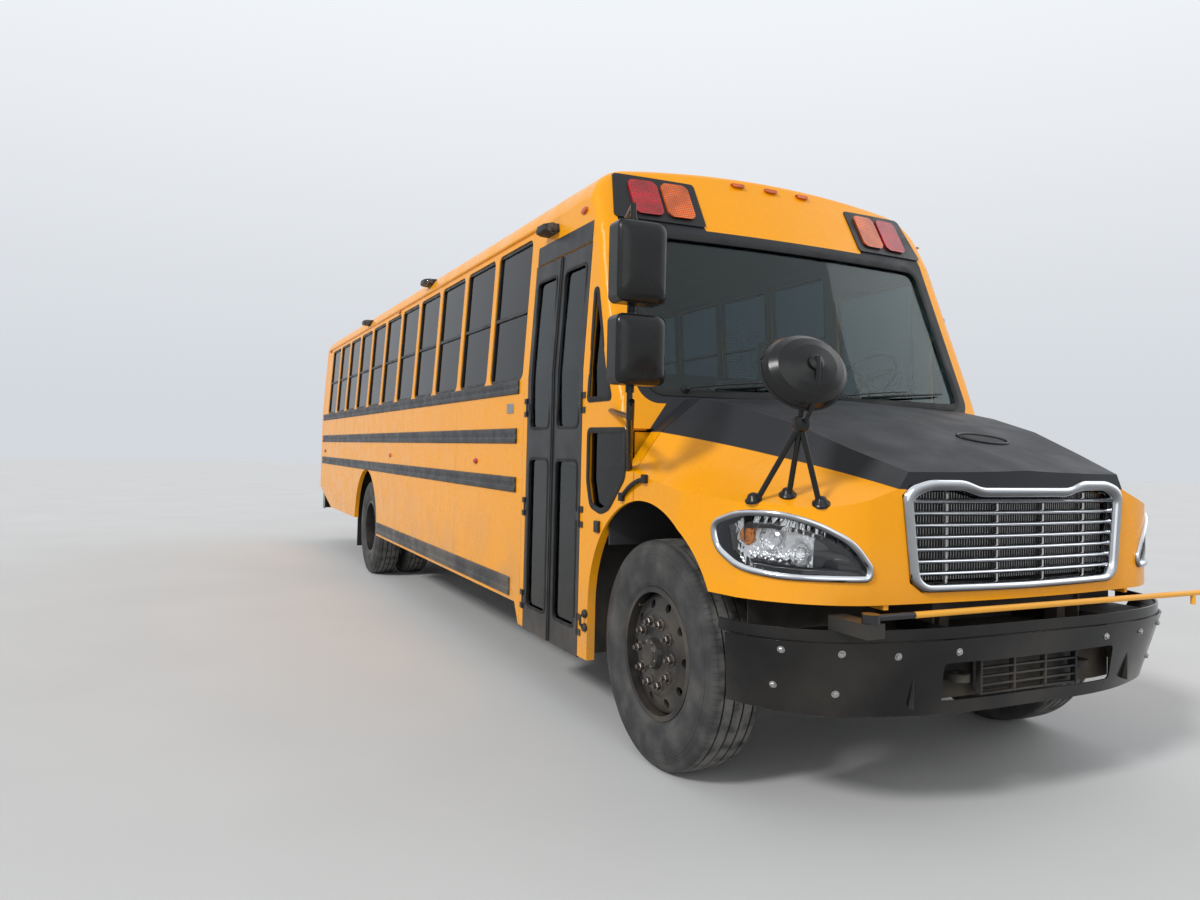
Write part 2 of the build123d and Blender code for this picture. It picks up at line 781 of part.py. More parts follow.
# Floor with cross sills, wheelhouses and the entrance step well
inner_half = half - wall_thickness - seat_gap
floor_start = 1480
floor_low = floor_top - floor_thickness
floor_end = rear_face_station - wall_thickness - seat_gap
wheelhouse_in = 545
wheelhouse_top = 1175
wheelhouse_reach = 655
sheet = 12
well_start = 1790
well_end = 2560
well_in = -500
well_sheet = 20
well_gap = 0.3
step_edges = [(-1170, 380), (-950, 380), (-950, 600), (-720, 600), (-720, 820), (well_in, 820),
              (well_in, floor_top)]
sill_depth = 50
with BuildPart() as floor:
    corner = 80
    well_front = well_start - well_sheet - seat_gap
    well_rear = well_end + well_sheet + seat_gap
    beside_well = well_in + well_sheet + seat_gap
    add(box_between((-inner_half, floor_start, floor_low), (inner_half, well_front, floor_top)))
    add(box_between((beside_well, well_front + seat_gap, floor_low),
                    (inner_half, well_rear - seat_gap, floor_top)))
    add(profile_z([(-inner_half, well_rear), (inner_half, well_rear),
                   (inner_half, floor_end - corner), (inner_half - corner, floor_end),
                   (corner - inner_half, floor_end), (-inner_half, floor_end - corner)],
                  floor_low, floor_top))
    for i in range(14):
        start = 1520 + i * window_pitch
        add(box_between((-1100, start, rail_top + seat_gap), (1100, start + sill_depth, floor_low)))
    add(box_between((-1300, well_front, 0), (beside_well, well_rear, floor_low)), mode=Mode.SUBTRACT)
    for side in (-1, 1):
        front = rear_axle_station - wheelhouse_reach
        rear = rear_axle_station + wheelhouse_reach
        xs = sorted((side * wheelhouse_in, side * inner_half))
        add(box_between((xs[0], front, rail_top + 1), (xs[1], rear, wheelhouse_top)))
        xs = sorted((side * (wheelhouse_in + sheet), side * (inner_half + 50)))
        add(box_between((xs[0], front + sheet, 800), (xs[1], rear - sheet, wheelhouse_top - sheet)),
            mode=Mode.SUBTRACT)
finish("floor", floor.part)

# Step well of the entrance: a tread and a riser for each step between two side plates
def step_well():
    """Sheets of the well, each a solid of its own, since people stand in the space they leave."""
    sheets = []
    outer, inner = well_start, well_end
    for (x0, z0), (x1, z1) in zip(step_edges, step_edges[1:]):
        if z0 == z1:
            sheets.append(box_between((x0 + well_gap, outer, z0 - well_sheet), (x1, inner, z0)))
        else:
            sheets.append(box_between((x0 + well_gap, outer, z0 - well_sheet),
                                      (x0 + well_sheet, inner, z1 - well_sheet - well_gap)))
    low_edge = [(x + well_sheet, z - well_sheet) for x, z in reversed(step_edges[:-1])]
    side_plate = [(step_edges[0][0], floor_top), (well_in + well_sheet, floor_top)] + low_edge
    side_plate[-1] = (step_edges[0][0], step_edges[0][1] - well_sheet)
    for start in (well_start - well_sheet, well_end + well_gap):
        sheets.append(profile_y(side_plate, start, start + well_sheet - well_gap))
    return sheets


finish("step_well", Compound(children=step_well()))


# Firewall, dashboard and steering column
dash_top = 1640
dash_rear = 1640
column_x = 690
steering_hub = (column_x, 1750, 1900)
with BuildPart() as firewall:
    free = front_shell(wall_thickness + seat_gap) + cowl_block(hood_skin + seat_gap)
    add(free & box_between((-1190, 1464, rail_top + 5), (1190, floor_start - seat_gap, dash_top)))
    add(free & box_between((-1300, 1300, dash_top - 45), (1300, dash_rear, dash_top)))
    add(free & box_between((-1300, 1520, 1380), (1300, dash_rear, dash_top)))
    add(tube((column_x, 1560, 1710), (column_x, 1560 + 165, 1875), 24))
    add(tube((column_x, 1480, 1630), (column_x, 1600, 1750), 45))
finish("firewall", firewall.part)

# Steering wheel, tilted about its column
steering_radius = 225
steering_grip = 15
with BuildPart() as steering_wheel:
    x, station, height = steering_hub
    plane = Plane(origin=(x, at(station), height), x_dir=(1, 0, 0), z_dir=(0, 1, 1))
    with BuildPart(mode=Mode.PRIVATE) as rim:
        Torus(steering_radius - steering_grip, steering_grip)
        Cylinder(45, 40)
        for angle in (90, 210, 330):
            add(Rot(0, 0, angle) * Pos(105, 0, 0) * Box(200, 26, 14, mode=Mode.PRIVATE))
    add(plane.location * rim.part)
finish("steering_wheel", steering_wheel.part)

# Seats: rows of benches on both sides of the aisle, two barriers and the driver's seat
seat_rows = 11
seat_first = 3000
seat_aisle = 190
seat_out = 1156
cushion_length = 430
cushion_low = 1400
cushion_top = 1480
seat_back_top = 2050
leg_top = cushion_low - seat_gap
with BuildPart() as passenger_seats:
    for i in range(seat_rows):
        start = seat_first + i * window_pitch
        rear = start + cushion_length
        back = [(rear + seat_gap, cushion_low), (rear + 70, cushion_low),
                (rear + 130, seat_back_top), (rear + 70, seat_back_top)]
        add(box_between((seat_aisle, start, cushion_low), (seat_out, rear, cushion_top)))
        add(profile_x(back, seat_aisle, seat_out))
        add(box_between((seat_aisle + 10, start + 100, floor_top + seat_gap),
                        (seat_aisle + 50, start + 380, leg_top)))
    mirror(about=Plane.YZ)
    for side in (-1, 1):
        xs = sorted((side * seat_aisle, side * seat_out))
        add(box_between((xs[0], 2700, floor_top + seat_gap), (xs[1], 2740, 1950)))
finish("passenger_seats", passenger_seats.part)
with BuildPart() as driver_seat:
    add(box_between((column_x - 180, 2100, floor_top + seat_gap), (column_x + 180, 2440, 1420)))
    add(box_between((column_x - 240, 2040, 1420), (column_x + 240, 2480, 1530)))
    add(profile_x([(2440, 1500), (2540, 1500), (2600, 2230), (2510, 2230)],
                  column_x - 240, column_x + 240, 20))
finish("driver_seat", driver_seat.part)

# Frame rails with cross members, the hood's pivot tube and the front tow eyes
frame_start = 112
frame_end = 11060
crossmembers = [135, 2300, 3600, 4900, 6200, 8350, 9850, frame_end - 80]
rail_in = rail_out - rail_flange
tow_hole = 18
tow_x = 345
tow_low = 560
tow_thick = 30
tow_front = (tow_x, 64)
tow_rear = (tow_x, rear_end_station - 75)
with BuildPart() as frame_rails:
    section = [(rail_out, rail_top), (rail_in, rail_top), (rail_in, rail_top - rail_web),
               (rail_out - rail_web, rail_top - rail_web),
               (rail_out - rail_web, rail_top - rail_height + rail_web),
               (rail_in, rail_top - rail_height + rail_web), (rail_in, rail_top - rail_height),
               (rail_out, rail_top - rail_height)]
    add(both_sides(profile_y(section, frame_start, frame_end)))
    for start in crossmembers:
        add(box_between((-rail_out + 5, start, 820), (rail_out - 5, start + 60, 940)))
    add(side_cylinder(hinge_station, hinge_height, hinge_pin, -hood_lug_out - 8, hood_lug_out + 8))
    for (x, station), root in ((tow_front, 165), (tow_rear, frame_end - 60)):
        plate = box_between((x - 45, min(station, root), tow_low),
                            (x + 45, max(station, root), tow_low + tow_thick))
        plate += Pos(x, at(station), tow_low + tow_thick / 2) * Cylinder(
            45, tow_thick, mode=Mode.PRIVATE)
        plate += box_between((x - 25, root - 30, tow_low), (x + 25, root + 30, 830))
        plate -= Pos(x, at(station), tow_low) * Cylinder(tow_hole, 200, mode=Mode.PRIVATE)
        add(both_sides(plate))
finish("frame_rails", frame_rails.part)

# Bumpers. Plan of the front one as (x, station) of its right half at its top and its foot
bumper_top_plan = [(0, -30), (550, -15), (830, 35), (985, 100), (1150, 260), (1213, 400)]
bumper_foot_plan = [(0, 4), (550, 35), (760, 92), (925, 165), (1065, 335), (1130, 505)]
bumper_low = 452
bumper_step = 742
bumper_high = 788
bumper_sheet = 9


def bumper_plan(points, set_back):
    """Face enclosed by the bumper's curved front and a line behind it."""
    moved = []
    for x, station in points:
        bend = min(1, x / 1150)
        moved.append((x - set_back * bend, station + set_back * sqrt(1 - 0.7 * bend)))
    line = [(-x, at(station)) for x, station in reversed(moved)] + [
        (x, at(station)) for x, station in moved[1:]]
    end_x, end_y = line[-1]
    tail = end_y + (60 if set_back > 0 else 1)
    with BuildSketch(mode=Mode.PRIVATE) as face:
        with BuildLine():
            Spline(*line)
            Polyline((end_x, end_y), (end_x, tail), (-end_x, tail), (-end_x, end_y))
        make_face()
    return face.sketch


def bumper_block(low, high, low_plan, high_plan, set_back):
    """Solid between two plans at two heights."""
    with BuildPart(mode=Mode.PRIVATE) as block:
        add(Pos(0, 0, low) * bumper_plan(low_plan, set_back))
        add(Pos(0, 0, high) * bumper_plan(high_plan, set_back))
        loft(ruled=True)
    return block.part


def front_bumper(set_back, extra):
    """The front bumper's filled shape with its set-back upper step."""
    share = extra / (bumper_step - bumper_low)
    foot_plan = [(foot_x + share * (foot_x - x), foot_station + share * (foot_station - station))
                 for (x, station), (foot_x, foot_station) in zip(bumper_top_plan, bumper_foot_plan)]
    low = bumper_block(bumper_low - extra, bumper_step, foot_plan, bumper_top_plan, set_back)
    return low + bumper_block(bumper_step, bumper_high + extra, bumper_top_plan, bumper_top_plan,
                              set_back + 14)


rear_bumper_low = 480
rear_bumper_high = 760
with BuildPart() as bumpers:
    add(front_bumper(0, 0))
    add(front_bumper(bumper_sheet, 60), mode=Mode.SUBTRACT)
    add(profile_y([(-488, 504), (488, 504), (488, 651), (-488, 651)], -200, 200, 20),
        mode=Mode.SUBTRACT)
    for side in (-1, 1):
        xs = sorted((side * (rail_out + seat_gap), side * (rail_out + 12)))
        add(box_between((xs[0], -14, 660), (xs[1], 300, 780)) & front_bumper(2, 0))
        add(box_between((xs[0], 200, 700), (xs[1], 300, 780)))
        add(box_between((xs[0], frame_end - 300, 700), (xs[1], rear_end_station - 5, 755)))
    rear_plan = [(-1150, rear_end_station - 260), (-1150, rear_end_station - 80),
                 (-1080, rear_end_station), (1080, rear_end_station),
                 (1150, rear_end_station - 80), (1150, rear_end_station - 260)]
    rear_solid = profile_z(rear_plan, rear_bumper_low, rear_bumper_high, 0)
    add(rear_solid - profile_z([(x * 0.993, station - bumper_sheet) for x, station in rear_plan],
                               rear_bumper_low - 5, rear_bumper_high - 8, 0)
        - profile_z([(-1000, rear_end_station - 270), (-1000, rear_end_station - 150),
                     (1000, rear_end_station - 150), (1000, rear_end_station - 270)], 400, 900))
finish("bumpers", bumpers.part)

# Crossing arm: motor housing beside the bumper and the swinging rod
arm_pivot = (-905, -60)
arm_height = 857
arm_tip = 1010
arm_rod = 12
housing_top = arm_height - 16 - seat_gap
with BuildPart() as crossing_arm:
    x, station = arm_pivot
    add(Pos(x, at(station), arm_height) * Cylinder(32, 32, mode=Mode.PRIVATE))
    add(tube((x, station, arm_height), (arm_tip, station, arm_height), arm_rod))
    add(tube((arm_tip - 60, station, arm_height), (arm_tip - 60, station, arm_height - 50), 10))
finish("crossing_arm", crossing_arm.part)

# Stop arm: an eight-sided blade flat against the driver's side
stop_station = 2700
stop_height = 1355
stop_barrel = 70
stop_out = half + 26
stop_half = 225
stop_thick = 12
with BuildPart() as stop_arm:
    middle = stop_station + 60 + stop_half
    reach = stop_half / cos(radians(22.5))
    corners = [(middle + reach * cos(radians(22.5 + 45 * i)),
                stop_height + reach * sin(radians(22.5 + 45 * i))) for i in range(8)]
    add(profile_x(corners, stop_out - stop_thick / 2, stop_out + stop_thick / 2))
    for height in (stop_height - 45, stop_height + 45):
        add(box_between((stop_out - 6, stop_station, height - 20),
                        (stop_out + 6, stop_station + 200, height + 20)))
    add(Pos(stop_out, at(stop_station), stop_height) * Cylinder(
        14, 2 * stop_barrel, mode=Mode.PRIVATE))
finish("stop_arm", stop_arm.part)
with BuildPart() as hinge_mounts:
    x, station = arm_pivot
    housing = box_between((x - 40, station - 28, bumper_high + seat_gap), (x + 40, 120, housing_top))
    add(housing - front_bumper(-seat_gap, 0))
    for height in (stop_height - stop_barrel - 22 - seat_gap, stop_height + stop_barrel + seat_gap):
        add(box_between((half + seat_gap, stop_station - 25, height),
                        (stop_out + 18, stop_station + 25, height + 22)))
    for name, start, hinge_line, toward in leaf_rows:
        for strap in post_straps(leaf_hinge_x, hinge_line, -toward, "station", leaf_hinge_heights):
            add(strap.moved(Location((-seat_gap, 0, 0))))
    for strap in post_straps(*emergency_hinge, -1, "x", emergency_hinge_heights):
        add(strap.moved(Location((0, seat_gap, 0))))
finish("hinge_mounts", hinge_mounts.part)

# Front axle, knuckles and springs
beam_width = 90
eye_radius = 45
eye_half = 60
kingpin = 18
beam_half = [(0, 400), (620, 400), (720, 470), (860, 470), (860, 560), (700, 560), (600, 490),
             (0, 490)]


def full_outline(half_points):
    """A closed outline from the points of its right half, foot first."""
    return half_points + [(-x, z) for x, z in reversed(half_points) if x > 0]


def leaf_spring(middle, reach, seat, tip):
    """A bow of spring leaves between two hangers under one rail."""
    with BuildPart(mode=Mode.PRIVATE) as spring:
        with BuildSketch(Plane.YZ.offset(rail_in + 5)):
            with BuildLine():
                ThreePointArc((at(middle - reach), tip), (at(middle), seat + 45),
                              (at(middle + reach), tip))
                Line((at(middle + reach), tip), (at(middle + reach), tip - 14))
                ThreePointArc((at(middle + reach), tip - 14), (at(middle), seat),
                              (at(middle - reach), tip - 14))
                Line((at(middle - reach), tip - 14), (at(middle - reach), tip))
            make_face()
        extrude(amount=70)
    hanger_top = rail_top - rail_height - seat_gap
    result = spring.part
    for end in (middle - reach, middle + reach):
        result += box_between((rail_in + 5, end - 25, tip - 30), (rail_in + 75, end + 25, hanger_top))
    return both_sides(result)


rear_tube = 70
spring_pad = 100
with BuildPart() as axles:
    beam = profile_y(full_outline(beam_half), front_axle_station - beam_width / 2,
                     front_axle_station + beam_width / 2)
    pocket = [(x, z) for x, z in [(0, 415), (612, 415), (712, 485), (835, 485), (835, 545),
                                  (706, 545), (606, 475), (0, 475)]]
    for start in (front_axle_station - beam_width / 2, front_axle_station + 12):
        beam -= profile_y(full_outline(pocket), start, start + beam_width / 2 - 12)
    add(beam)
    for side in (-1, 1):
        eye = Pos(side * kingpin_out, at(front_axle_station), axle_height)
        add(eye * Cylinder(eye_radius, 2 * eye_half, mode=Mode.PRIVATE))
        add(eye * Cylinder(kingpin + seat_gap, 300, mode=Mode.PRIVATE), mode=Mode.SUBTRACT)
    add(side_cylinder(rear_axle_station, axle_height, rear_tube, -600, 600))
    add(side_cylinder(rear_axle_station, axle_height, 60, -890, 890))
    add(Pos(0, at(rear_axle_station), axle_height) * Rot(90, 0, 0) * Cylinder(
        205, 220, mode=Mode.PRIVATE))
    for middle, reach, seat, tip in ((front_axle_station, 640, 490, 660),
                                     (rear_axle_station, 760, axle_height + rear_tube, 672)):
        add(leaf_spring(middle, reach, seat, tip))
        add(both_sides(box_between((rail_in, middle - spring_pad, seat - 30),
                                   (rail_out, middle + spring_pad, seat + 16))))
finish("axles", axles.part)

knuckle_gap = 2
backing_in = 955
spindle_end = 1080
spindle_radius = 40
for side, name in ((1, "left"), (-1, "right")):
    with BuildPart() as knuckle:
        y = front_axle_station
        for sign in (-1, 1):
            low = axle_height + sign * (eye_half + knuckle_gap + 20)
            add(Pos(kingpin_out, at(y), low) * Cylinder(eye_radius, 40, mode=Mode.PRIVATE))
            add(box_between((kingpin_out, y - 38, low - 20), (backing_in, y + 38, low + 20)))
        add(Pos(kingpin_out, at(y), axle_height) * Cylinder(
            kingpin, 2 * (eye_half + knuckle_gap + 30), mode=Mode.PRIVATE))
        reach = eye_half + knuckle_gap + 40
        add(box_between((kingpin_out + 51, y - 60, axle_height - reach),
                        (backing_in + 5, y + 60, axle_height + reach)))
        add(side_cylinder(y, axle_height, 190, backing_in, backing_in + 10))
        add(side_cylinder(y, axle_height, spindle_radius, backing_in, spindle_end))
    body = knuckle.part if side > 0 else knuckle.part.mirror(Plane.YZ)
    finish(f"knuckle_{name}", body)

# Wheels and tyres as (out from the wheel's middle, radius)
tyre_half = [(105, tyre_bead_radius + seat_gap), (105, 300), (124, 312), (139.5, 385),
             (136, 440), (120, 492), (100, 511), (0, tyre_radius)]
tyre_profile = tyre_half + [(-x, radius) for x, radius in reversed(tyre_half[:-1])]
rim_out = tyre_bead_radius
rim_in = 266
front_wheel_profile = [
    (-108, rim_out), (-108, 298), (-116, 298), (-118, rim_in), (30, rim_in), (64, 258),
    (84, 190), (98, 172), (98, 120), (60, 112), (60, 205), (-72, 205), (-72, 190), (38, 190),
    (38, 80), (-70, 80), (-70, spindle_radius + seat_gap), (64, spindle_radius + seat_gap),
    (64, 0), (158, 0), (158, 46), (142, 64), (116, 72), (110, 100), (110, 176), (98, 196),
    (80, 262), (60, rim_in + 8), (118, rim_in + 8), (116, 298), (108, 298), (108, rim_out)]
hand_holes = 10
hand_hole_radius = 20
hand_hole_ring = 222
stud_ring = 143
stud_count = 10


def ring_of_holes(count, ring, radius, low_x, high_x):
    """Cylinders along X set round a ring."""
    holes = Part()
    for i in range(count):
        angle = radians(360 * i / count)
        holes += Pos((low_x + high_x) / 2, ring * cos(angle), ring * sin(angle)) * Rot(
            0, 90, 0) * Cylinder(radius, high_x - low_x, mode=Mode.PRIVATE)
    return holes


def placed(part, side, out, station):
    """A piece of a wheel moved to its axle end, mirrored on the right."""
    piece = part if side > 0 else part.mirror(Plane.YZ)
    return piece.moved(Location((side * out, at(station), axle_height)))


tyre = revolved(tyre_profile, 1)
front_wheel = revolved(front_wheel_profile, 1)
front_wheel -= ring_of_holes(hand_holes, hand_hole_ring, hand_hole_radius, 40, 130)
front_wheel += ring_of_holes(stud_count, stud_ring, 14, 105, 136)
disc = dual_spacing / 2
rear_wheel_profile = [
    (-disc, 60 + seat_gap), (-disc - 150, 60 + seat_gap), (-disc - 150, 190), (-disc - 22, 190),
    (-disc - 96, rim_in), (-dual_spacing - 118, rim_in), (-dual_spacing - 116, 298),
    (-dual_spacing - 108, 298), (-dual_spacing - 108, rim_out), (-dual_spacing + 108, rim_out),
    (-dual_spacing + 108, 298), (-dual_spacing + 116, 298), (-dual_spacing + 118, rim_in + 8),
    (-disc - 80, rim_in + 8), (-disc - 10, 200), (-disc - 6, 184), (-disc + 6, 184),
    (-disc + 10, 200), (-disc + 80, rim_in + 8), (-118, rim_in + 8), (-116, 298), (-108, 298),
    (-108, rim_out), (108, rim_out), (108, 298), (116, 298), (118, rim_in), (-disc + 96, rim_in),
    (-disc + 22, 190), (-disc + 16, 172), (-disc + 16, 110), (-20, 105), (-6, 96), (-6, 112),
    (8, 112), (8, 60), (26, 54), (26, 0), (-disc + 24, 0), (-disc + 24, 60 + seat_gap)]
rear_wheel = revolved(rear_wheel_profile, 1)
rear_wheel -= ring_of_holes(hand_holes, hand_hole_ring, hand_hole_radius, -disc - 90, -disc + 90)
rear_wheel += ring_of_holes(stud_count, stud_ring, 14, -disc + 10, -disc + 44)
for side, name in ((1, "left"), (-1, "right")):
    finish(f"front_tyre_{name}", placed(tyre, side, wheel_centre_out, front_axle_station))
    finish(f"front_wheel_{name}", placed(front_wheel, side, wheel_centre_out, front_axle_station))
    finish(f"rear_wheels_{name}", placed(rear_wheel, side, wheel_centre_out, rear_axle_station))
    pair = placed(tyre, side, wheel_centre_out, rear_axle_station)
    pair += placed(tyre, side, wheel_centre_out - dual_spacing, rear_axle_station)
    finish(f"rear_tyres_{name}", pair)

# Engine block with gearbox, shaft and radiator, then the tank and the exhaust
gearbox_front = 1350
gearbox_rear = 2150
with BuildPart() as powertrain:
    add(box_between((-300, 350, 620), (300, gearbox_front, 1450)))
    add(box_between((-200, gearbox_front + seat_gap, 600), (200, gearbox_rear, 950)))
    add(tube((0, gearbox_rear + 2, 745), (0, rear_axle_station - 112.5, 545), 45))
    for side in (-1, 1):
        xs = sorted((side * 290, side * (rail_out - rail_web - seat_gap)))
        add(box_between((xs[0], 700, 790), (xs[1], 790, 860)))
    add(box_between((-430, 200, rail_top + seat_gap), (430, 262, 1290)))
finish("powertrain", powertrain.part)
with BuildPart() as fuel_tank:
    tank_half = rail_in - seat_gap
    add(profile_y([(-tank_half, 480), (tank_half, 480), (tank_half, 812), (-tank_half, 812)],
                  8450, 9800, 45))
finish("fuel_tank", fuel_tank.part)
pipe_x = 480
pipe_z = 800
with BuildPart() as exhaust:
    add(tube((pipe_x, 1500, pipe_z), (pipe_x, rear_face_station - 60, pipe_z), 38))
    add(tube((pipe_x + 60, 3500, pipe_z), (pipe_x + 60, 4600, pipe_z), 100))
    for height, elbow in ((pipe_z, 43), (640, 42)):
        add(Pos(pipe_x, at(1500), height) * Sphere(elbow, mode=Mode.PRIVATE))
    add(tube((pipe_x, 1500, pipe_z), (pipe_x, 1500, 640), 37))
    add(tube((pipe_x, 1500, 640), (200 + seat_gap, 1500, 640), 36))
    for station in (2500, 5200, 6600, 8700, 10600):
        add(box_between((rail_out + seat_gap, station, pipe_z - 20),
                        (pipe_x, station + 40, pipe_z + 20)))
finish("exhaust", exhaust.part)

# Mud flaps behind the rear wheels
with BuildPart() as mud_flaps:
    add(both_sides(box_between((560, 8330, 230), (1168, 8340, floor_low - seat_gap))))
finish("mud_flaps", mud_flaps.part)

# Rub rails: height of each rail's foot, its depth, start on each side, and end
rail_depth = 12
rub_rows = [
    (1771, 90, 2730, 1760, rear_cap_station),
    (1459, 100, 2755, 1760, rear_cap_station),
    (1152, 100, 2750, 1760, rear_cap_station),
    (500, 120, 2820, 1760, 6980),
]
with BuildPart() as rub_rails:
    for foot, depth, right_start, left_start, stop in rub_rows:
        low = half + seat_gap
        out = half + rail_depth
        third = depth / 3
        section = [(low, foot), (out, foot + 8), (out, foot + third), (out - 5, foot + third + 6),
                   (out - 5, foot + 2 * third - 6), (out, foot + 2 * third),
                   (out, foot + depth - 8), (low, foot + depth)]
        add(profile_y(section, left_start, stop))
        add(profile_y(section, right_start, stop).mirror(Plane.YZ))
    add(side_cylinder(rear_axle_station, axle_height, rear_arch_radius + 2, -1400, 1400),
        mode=Mode.SUBTRACT)
finish("rub_rails", rub_rails.part)

# Warning lamps on both caps, clearance lamps on the roof's edge and tail lamps
warning_z = (2712, 2930)
warning_rows = [("amber", 600, 765), ("red", 790, 962)]
surround = [(545, 2672), (1085, 2680), (1030, 2962), (545, 2950)]
surround_depth = 10
lens_depth_out = 24
front_solid = front_shell(-seat_gap)
surround_solid = front_shell(-surround_depth)
lens_solid = front_shell(-lens_depth_out)
rear_lamps = [("red", 850, 2700, 90), ("amber", 630, 2700, 90), ("red", 1080, 1330, 88),
              ("amber", 1080, 1120, 70)]


def header_prism(points, radius):
    """An outline run rearwards through the header."""
    return profile_y(points, hood_seam_station, cap_roof_end_station - 20, radius)


def lamp_box(low_x, high_x):
    """Outline of one warning lamp."""
    low, high = warning_z
    return [(low_x, low), (high_x, low), (high_x, high), (low_x, high)]


with BuildPart() as lamp_housings:
    add(both_sides(header_prism(surround, 20) & surround_solid) - front_solid)
    for colour, x, height, radius in rear_lamps:
        lamp = Pos(x, at(rear_face_station) + 6, height) * Rot(90, 0, 0) * Cylinder(
            radius + 12, 12 - 2 * seat_gap, mode=Mode.PRIVATE)
        add(both_sides(lamp))
finish("lamp_housings", lamp_housings.part)
for colour in ("amber", "red"):
    lenses = Part()
    for row, low_x, high_x in warning_rows:
        if row == colour:
            shape = header_prism(lamp_box(low_x, high_x), 40)
            lenses += both_sides((shape & lens_solid) - front_shell(-surround_depth - seat_gap))
    for row, x, height, radius in rear_lamps:
        if row == colour:
            lamp = Pos(x, at(rear_face_station) + 24, height) * Rot(90, 0, 0) * Cylinder(
                radius, 24 - seat_gap, mode=Mode.PRIVATE)
            lenses += both_sides(lamp)
    if colour == "amber":
        for x in (-233, 0, 233):
            strip = [(x - 42, 2984), (x + 42, 2984), (x + 42, 3008), (x - 42, 3008)]
            lenses += (header_prism(strip, 8) & front_shell(-18)) - front_solid
    finish(f"{colour}_lenses", lenses)

# Rear-view mirrors: two heads on a tube. The driver's set stands beside the driver's window
mirror_x = 1430
mirror_station = 780
mirror_half_width = 115
mirror_heads = [(2215, 344), (1850, 291)]
tube_station = 820
tube_ends = (1560, 2480)
arm_size = 13
driver_mirror_shift = 1200
entrance_arms = [((mirror_x, tube_station, 2470), (1150, 1600, 2470)),
                 ((mirror_x, tube_station, 1575), (1190, 1500, 1633)),
                 ((mirror_x, 800, 1640), (1200, 1250, 1335)),
                 ((mirror_x, tube_station, 1575), (1200, 1250, 1335))]
driver_arms = [((mirror_x, 2020, 2470), (1150, 1775, 2470)),
               ((mirror_x, 2020, 1640), (1190, 1775, 1640)),
               ((mirror_x, 2020, 1900), (1190, 1775, 1700))]


def mirror_set(shift, arms):
    """The heads, tube and arms of one side, standing on the driver's side."""
    with BuildPart(mode=Mode.PRIVATE) as made:
        for height, tall in mirror_heads:
            head = [(mirror_x - mirror_half_width, height - tall / 2),
                    (mirror_x + mirror_half_width, height - tall / 2),
                    (mirror_x + mirror_half_width, height + tall / 2),
                    (mirror_x - mirror_half_width, height + tall / 2)]
            add(profile_y(head, mirror_station + shift - 50, mirror_station + shift + 32, 30))
        add(tube((mirror_x, tube_station + shift, tube_ends[0]),
                 (mirror_x, tube_station + shift, tube_ends[1]), arm_size))
        for outer, root in arms:
            add(tube(outer, root, arm_size))
    return made.part


with BuildPart() as rear_view_mirrors:
    entrance_set = mirror_set(0, entrance_arms) - front_shell(-2 * seat_gap)
    entrance_set -= cowl_block(-2 * seat_gap)
    add(entrance_set.mirror(Plane.YZ))
    add(mirror_set(driver_mirror_shift, driver_arms)
        - body_block(-2 * seat_gap, 1000, front_cap_end_station, 900))
finish("rear_view_mirrors", rear_view_mirrors.part)
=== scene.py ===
"""The looks of a full-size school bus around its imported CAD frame, in metres.

The nose points along -Y, the entrance door is on the -X side and +Z is up. Lengths along the bus
are written as stations from front to rear, and at(station) turns one into Y.
"""
from math import atan2, cos, pi, radians, sin, sqrt

import bmesh
import bpy
from mathutils import Matrix, Vector


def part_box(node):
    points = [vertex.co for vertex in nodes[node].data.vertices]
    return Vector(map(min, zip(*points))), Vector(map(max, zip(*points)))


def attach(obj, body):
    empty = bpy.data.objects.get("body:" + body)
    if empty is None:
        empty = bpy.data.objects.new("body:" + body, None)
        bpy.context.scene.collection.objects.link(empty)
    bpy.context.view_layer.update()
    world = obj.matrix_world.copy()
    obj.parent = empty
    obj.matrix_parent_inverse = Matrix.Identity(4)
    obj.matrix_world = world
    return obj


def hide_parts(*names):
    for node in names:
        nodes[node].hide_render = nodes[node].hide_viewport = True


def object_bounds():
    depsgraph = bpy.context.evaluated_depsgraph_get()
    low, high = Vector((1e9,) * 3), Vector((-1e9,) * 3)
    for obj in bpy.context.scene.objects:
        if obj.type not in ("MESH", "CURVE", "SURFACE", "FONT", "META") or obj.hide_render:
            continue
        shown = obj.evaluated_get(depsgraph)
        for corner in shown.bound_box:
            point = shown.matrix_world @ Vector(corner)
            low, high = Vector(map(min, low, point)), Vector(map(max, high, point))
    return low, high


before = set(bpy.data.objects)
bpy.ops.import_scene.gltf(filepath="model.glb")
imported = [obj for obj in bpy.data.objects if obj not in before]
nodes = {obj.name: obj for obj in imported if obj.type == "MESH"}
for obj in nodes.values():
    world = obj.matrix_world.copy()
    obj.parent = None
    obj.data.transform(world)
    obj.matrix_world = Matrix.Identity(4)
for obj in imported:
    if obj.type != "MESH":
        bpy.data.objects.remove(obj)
cad_box = [list(corner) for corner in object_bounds()]

# Driving dimensions
REAR_END = 11.3399
MIDDLE_STATION = REAR_END - cad_box[1][1]
HALF = -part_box("right_wall")[0].x
BELT = 1.860
EAVE = 2.800
EAVE_INSET = 0.056
FRONT_AXLE = 1.054
REAR_AXLE = 7.633
AXLE_HEIGHT = 0.515
WHEEL_OUT = 1.035
DUAL_SPACING = 0.332
WINDOW_PITCH = 0.7239
WINDOW_COUNT = 11
FIRST_POST = 2.645
REAR_CAP = 10.9379
REAR_FACE = 11.1999
SCREEN_BASE_STATION = 1.623
SCREEN_BASE_HEIGHT = 2.640
SCREEN_SLOPE = 0.38
SCREEN_RADIUS = 8.5
SIDES = (-1, 1)


def at(station):
    """Y of a station."""
    return station - MIDDLE_STATION


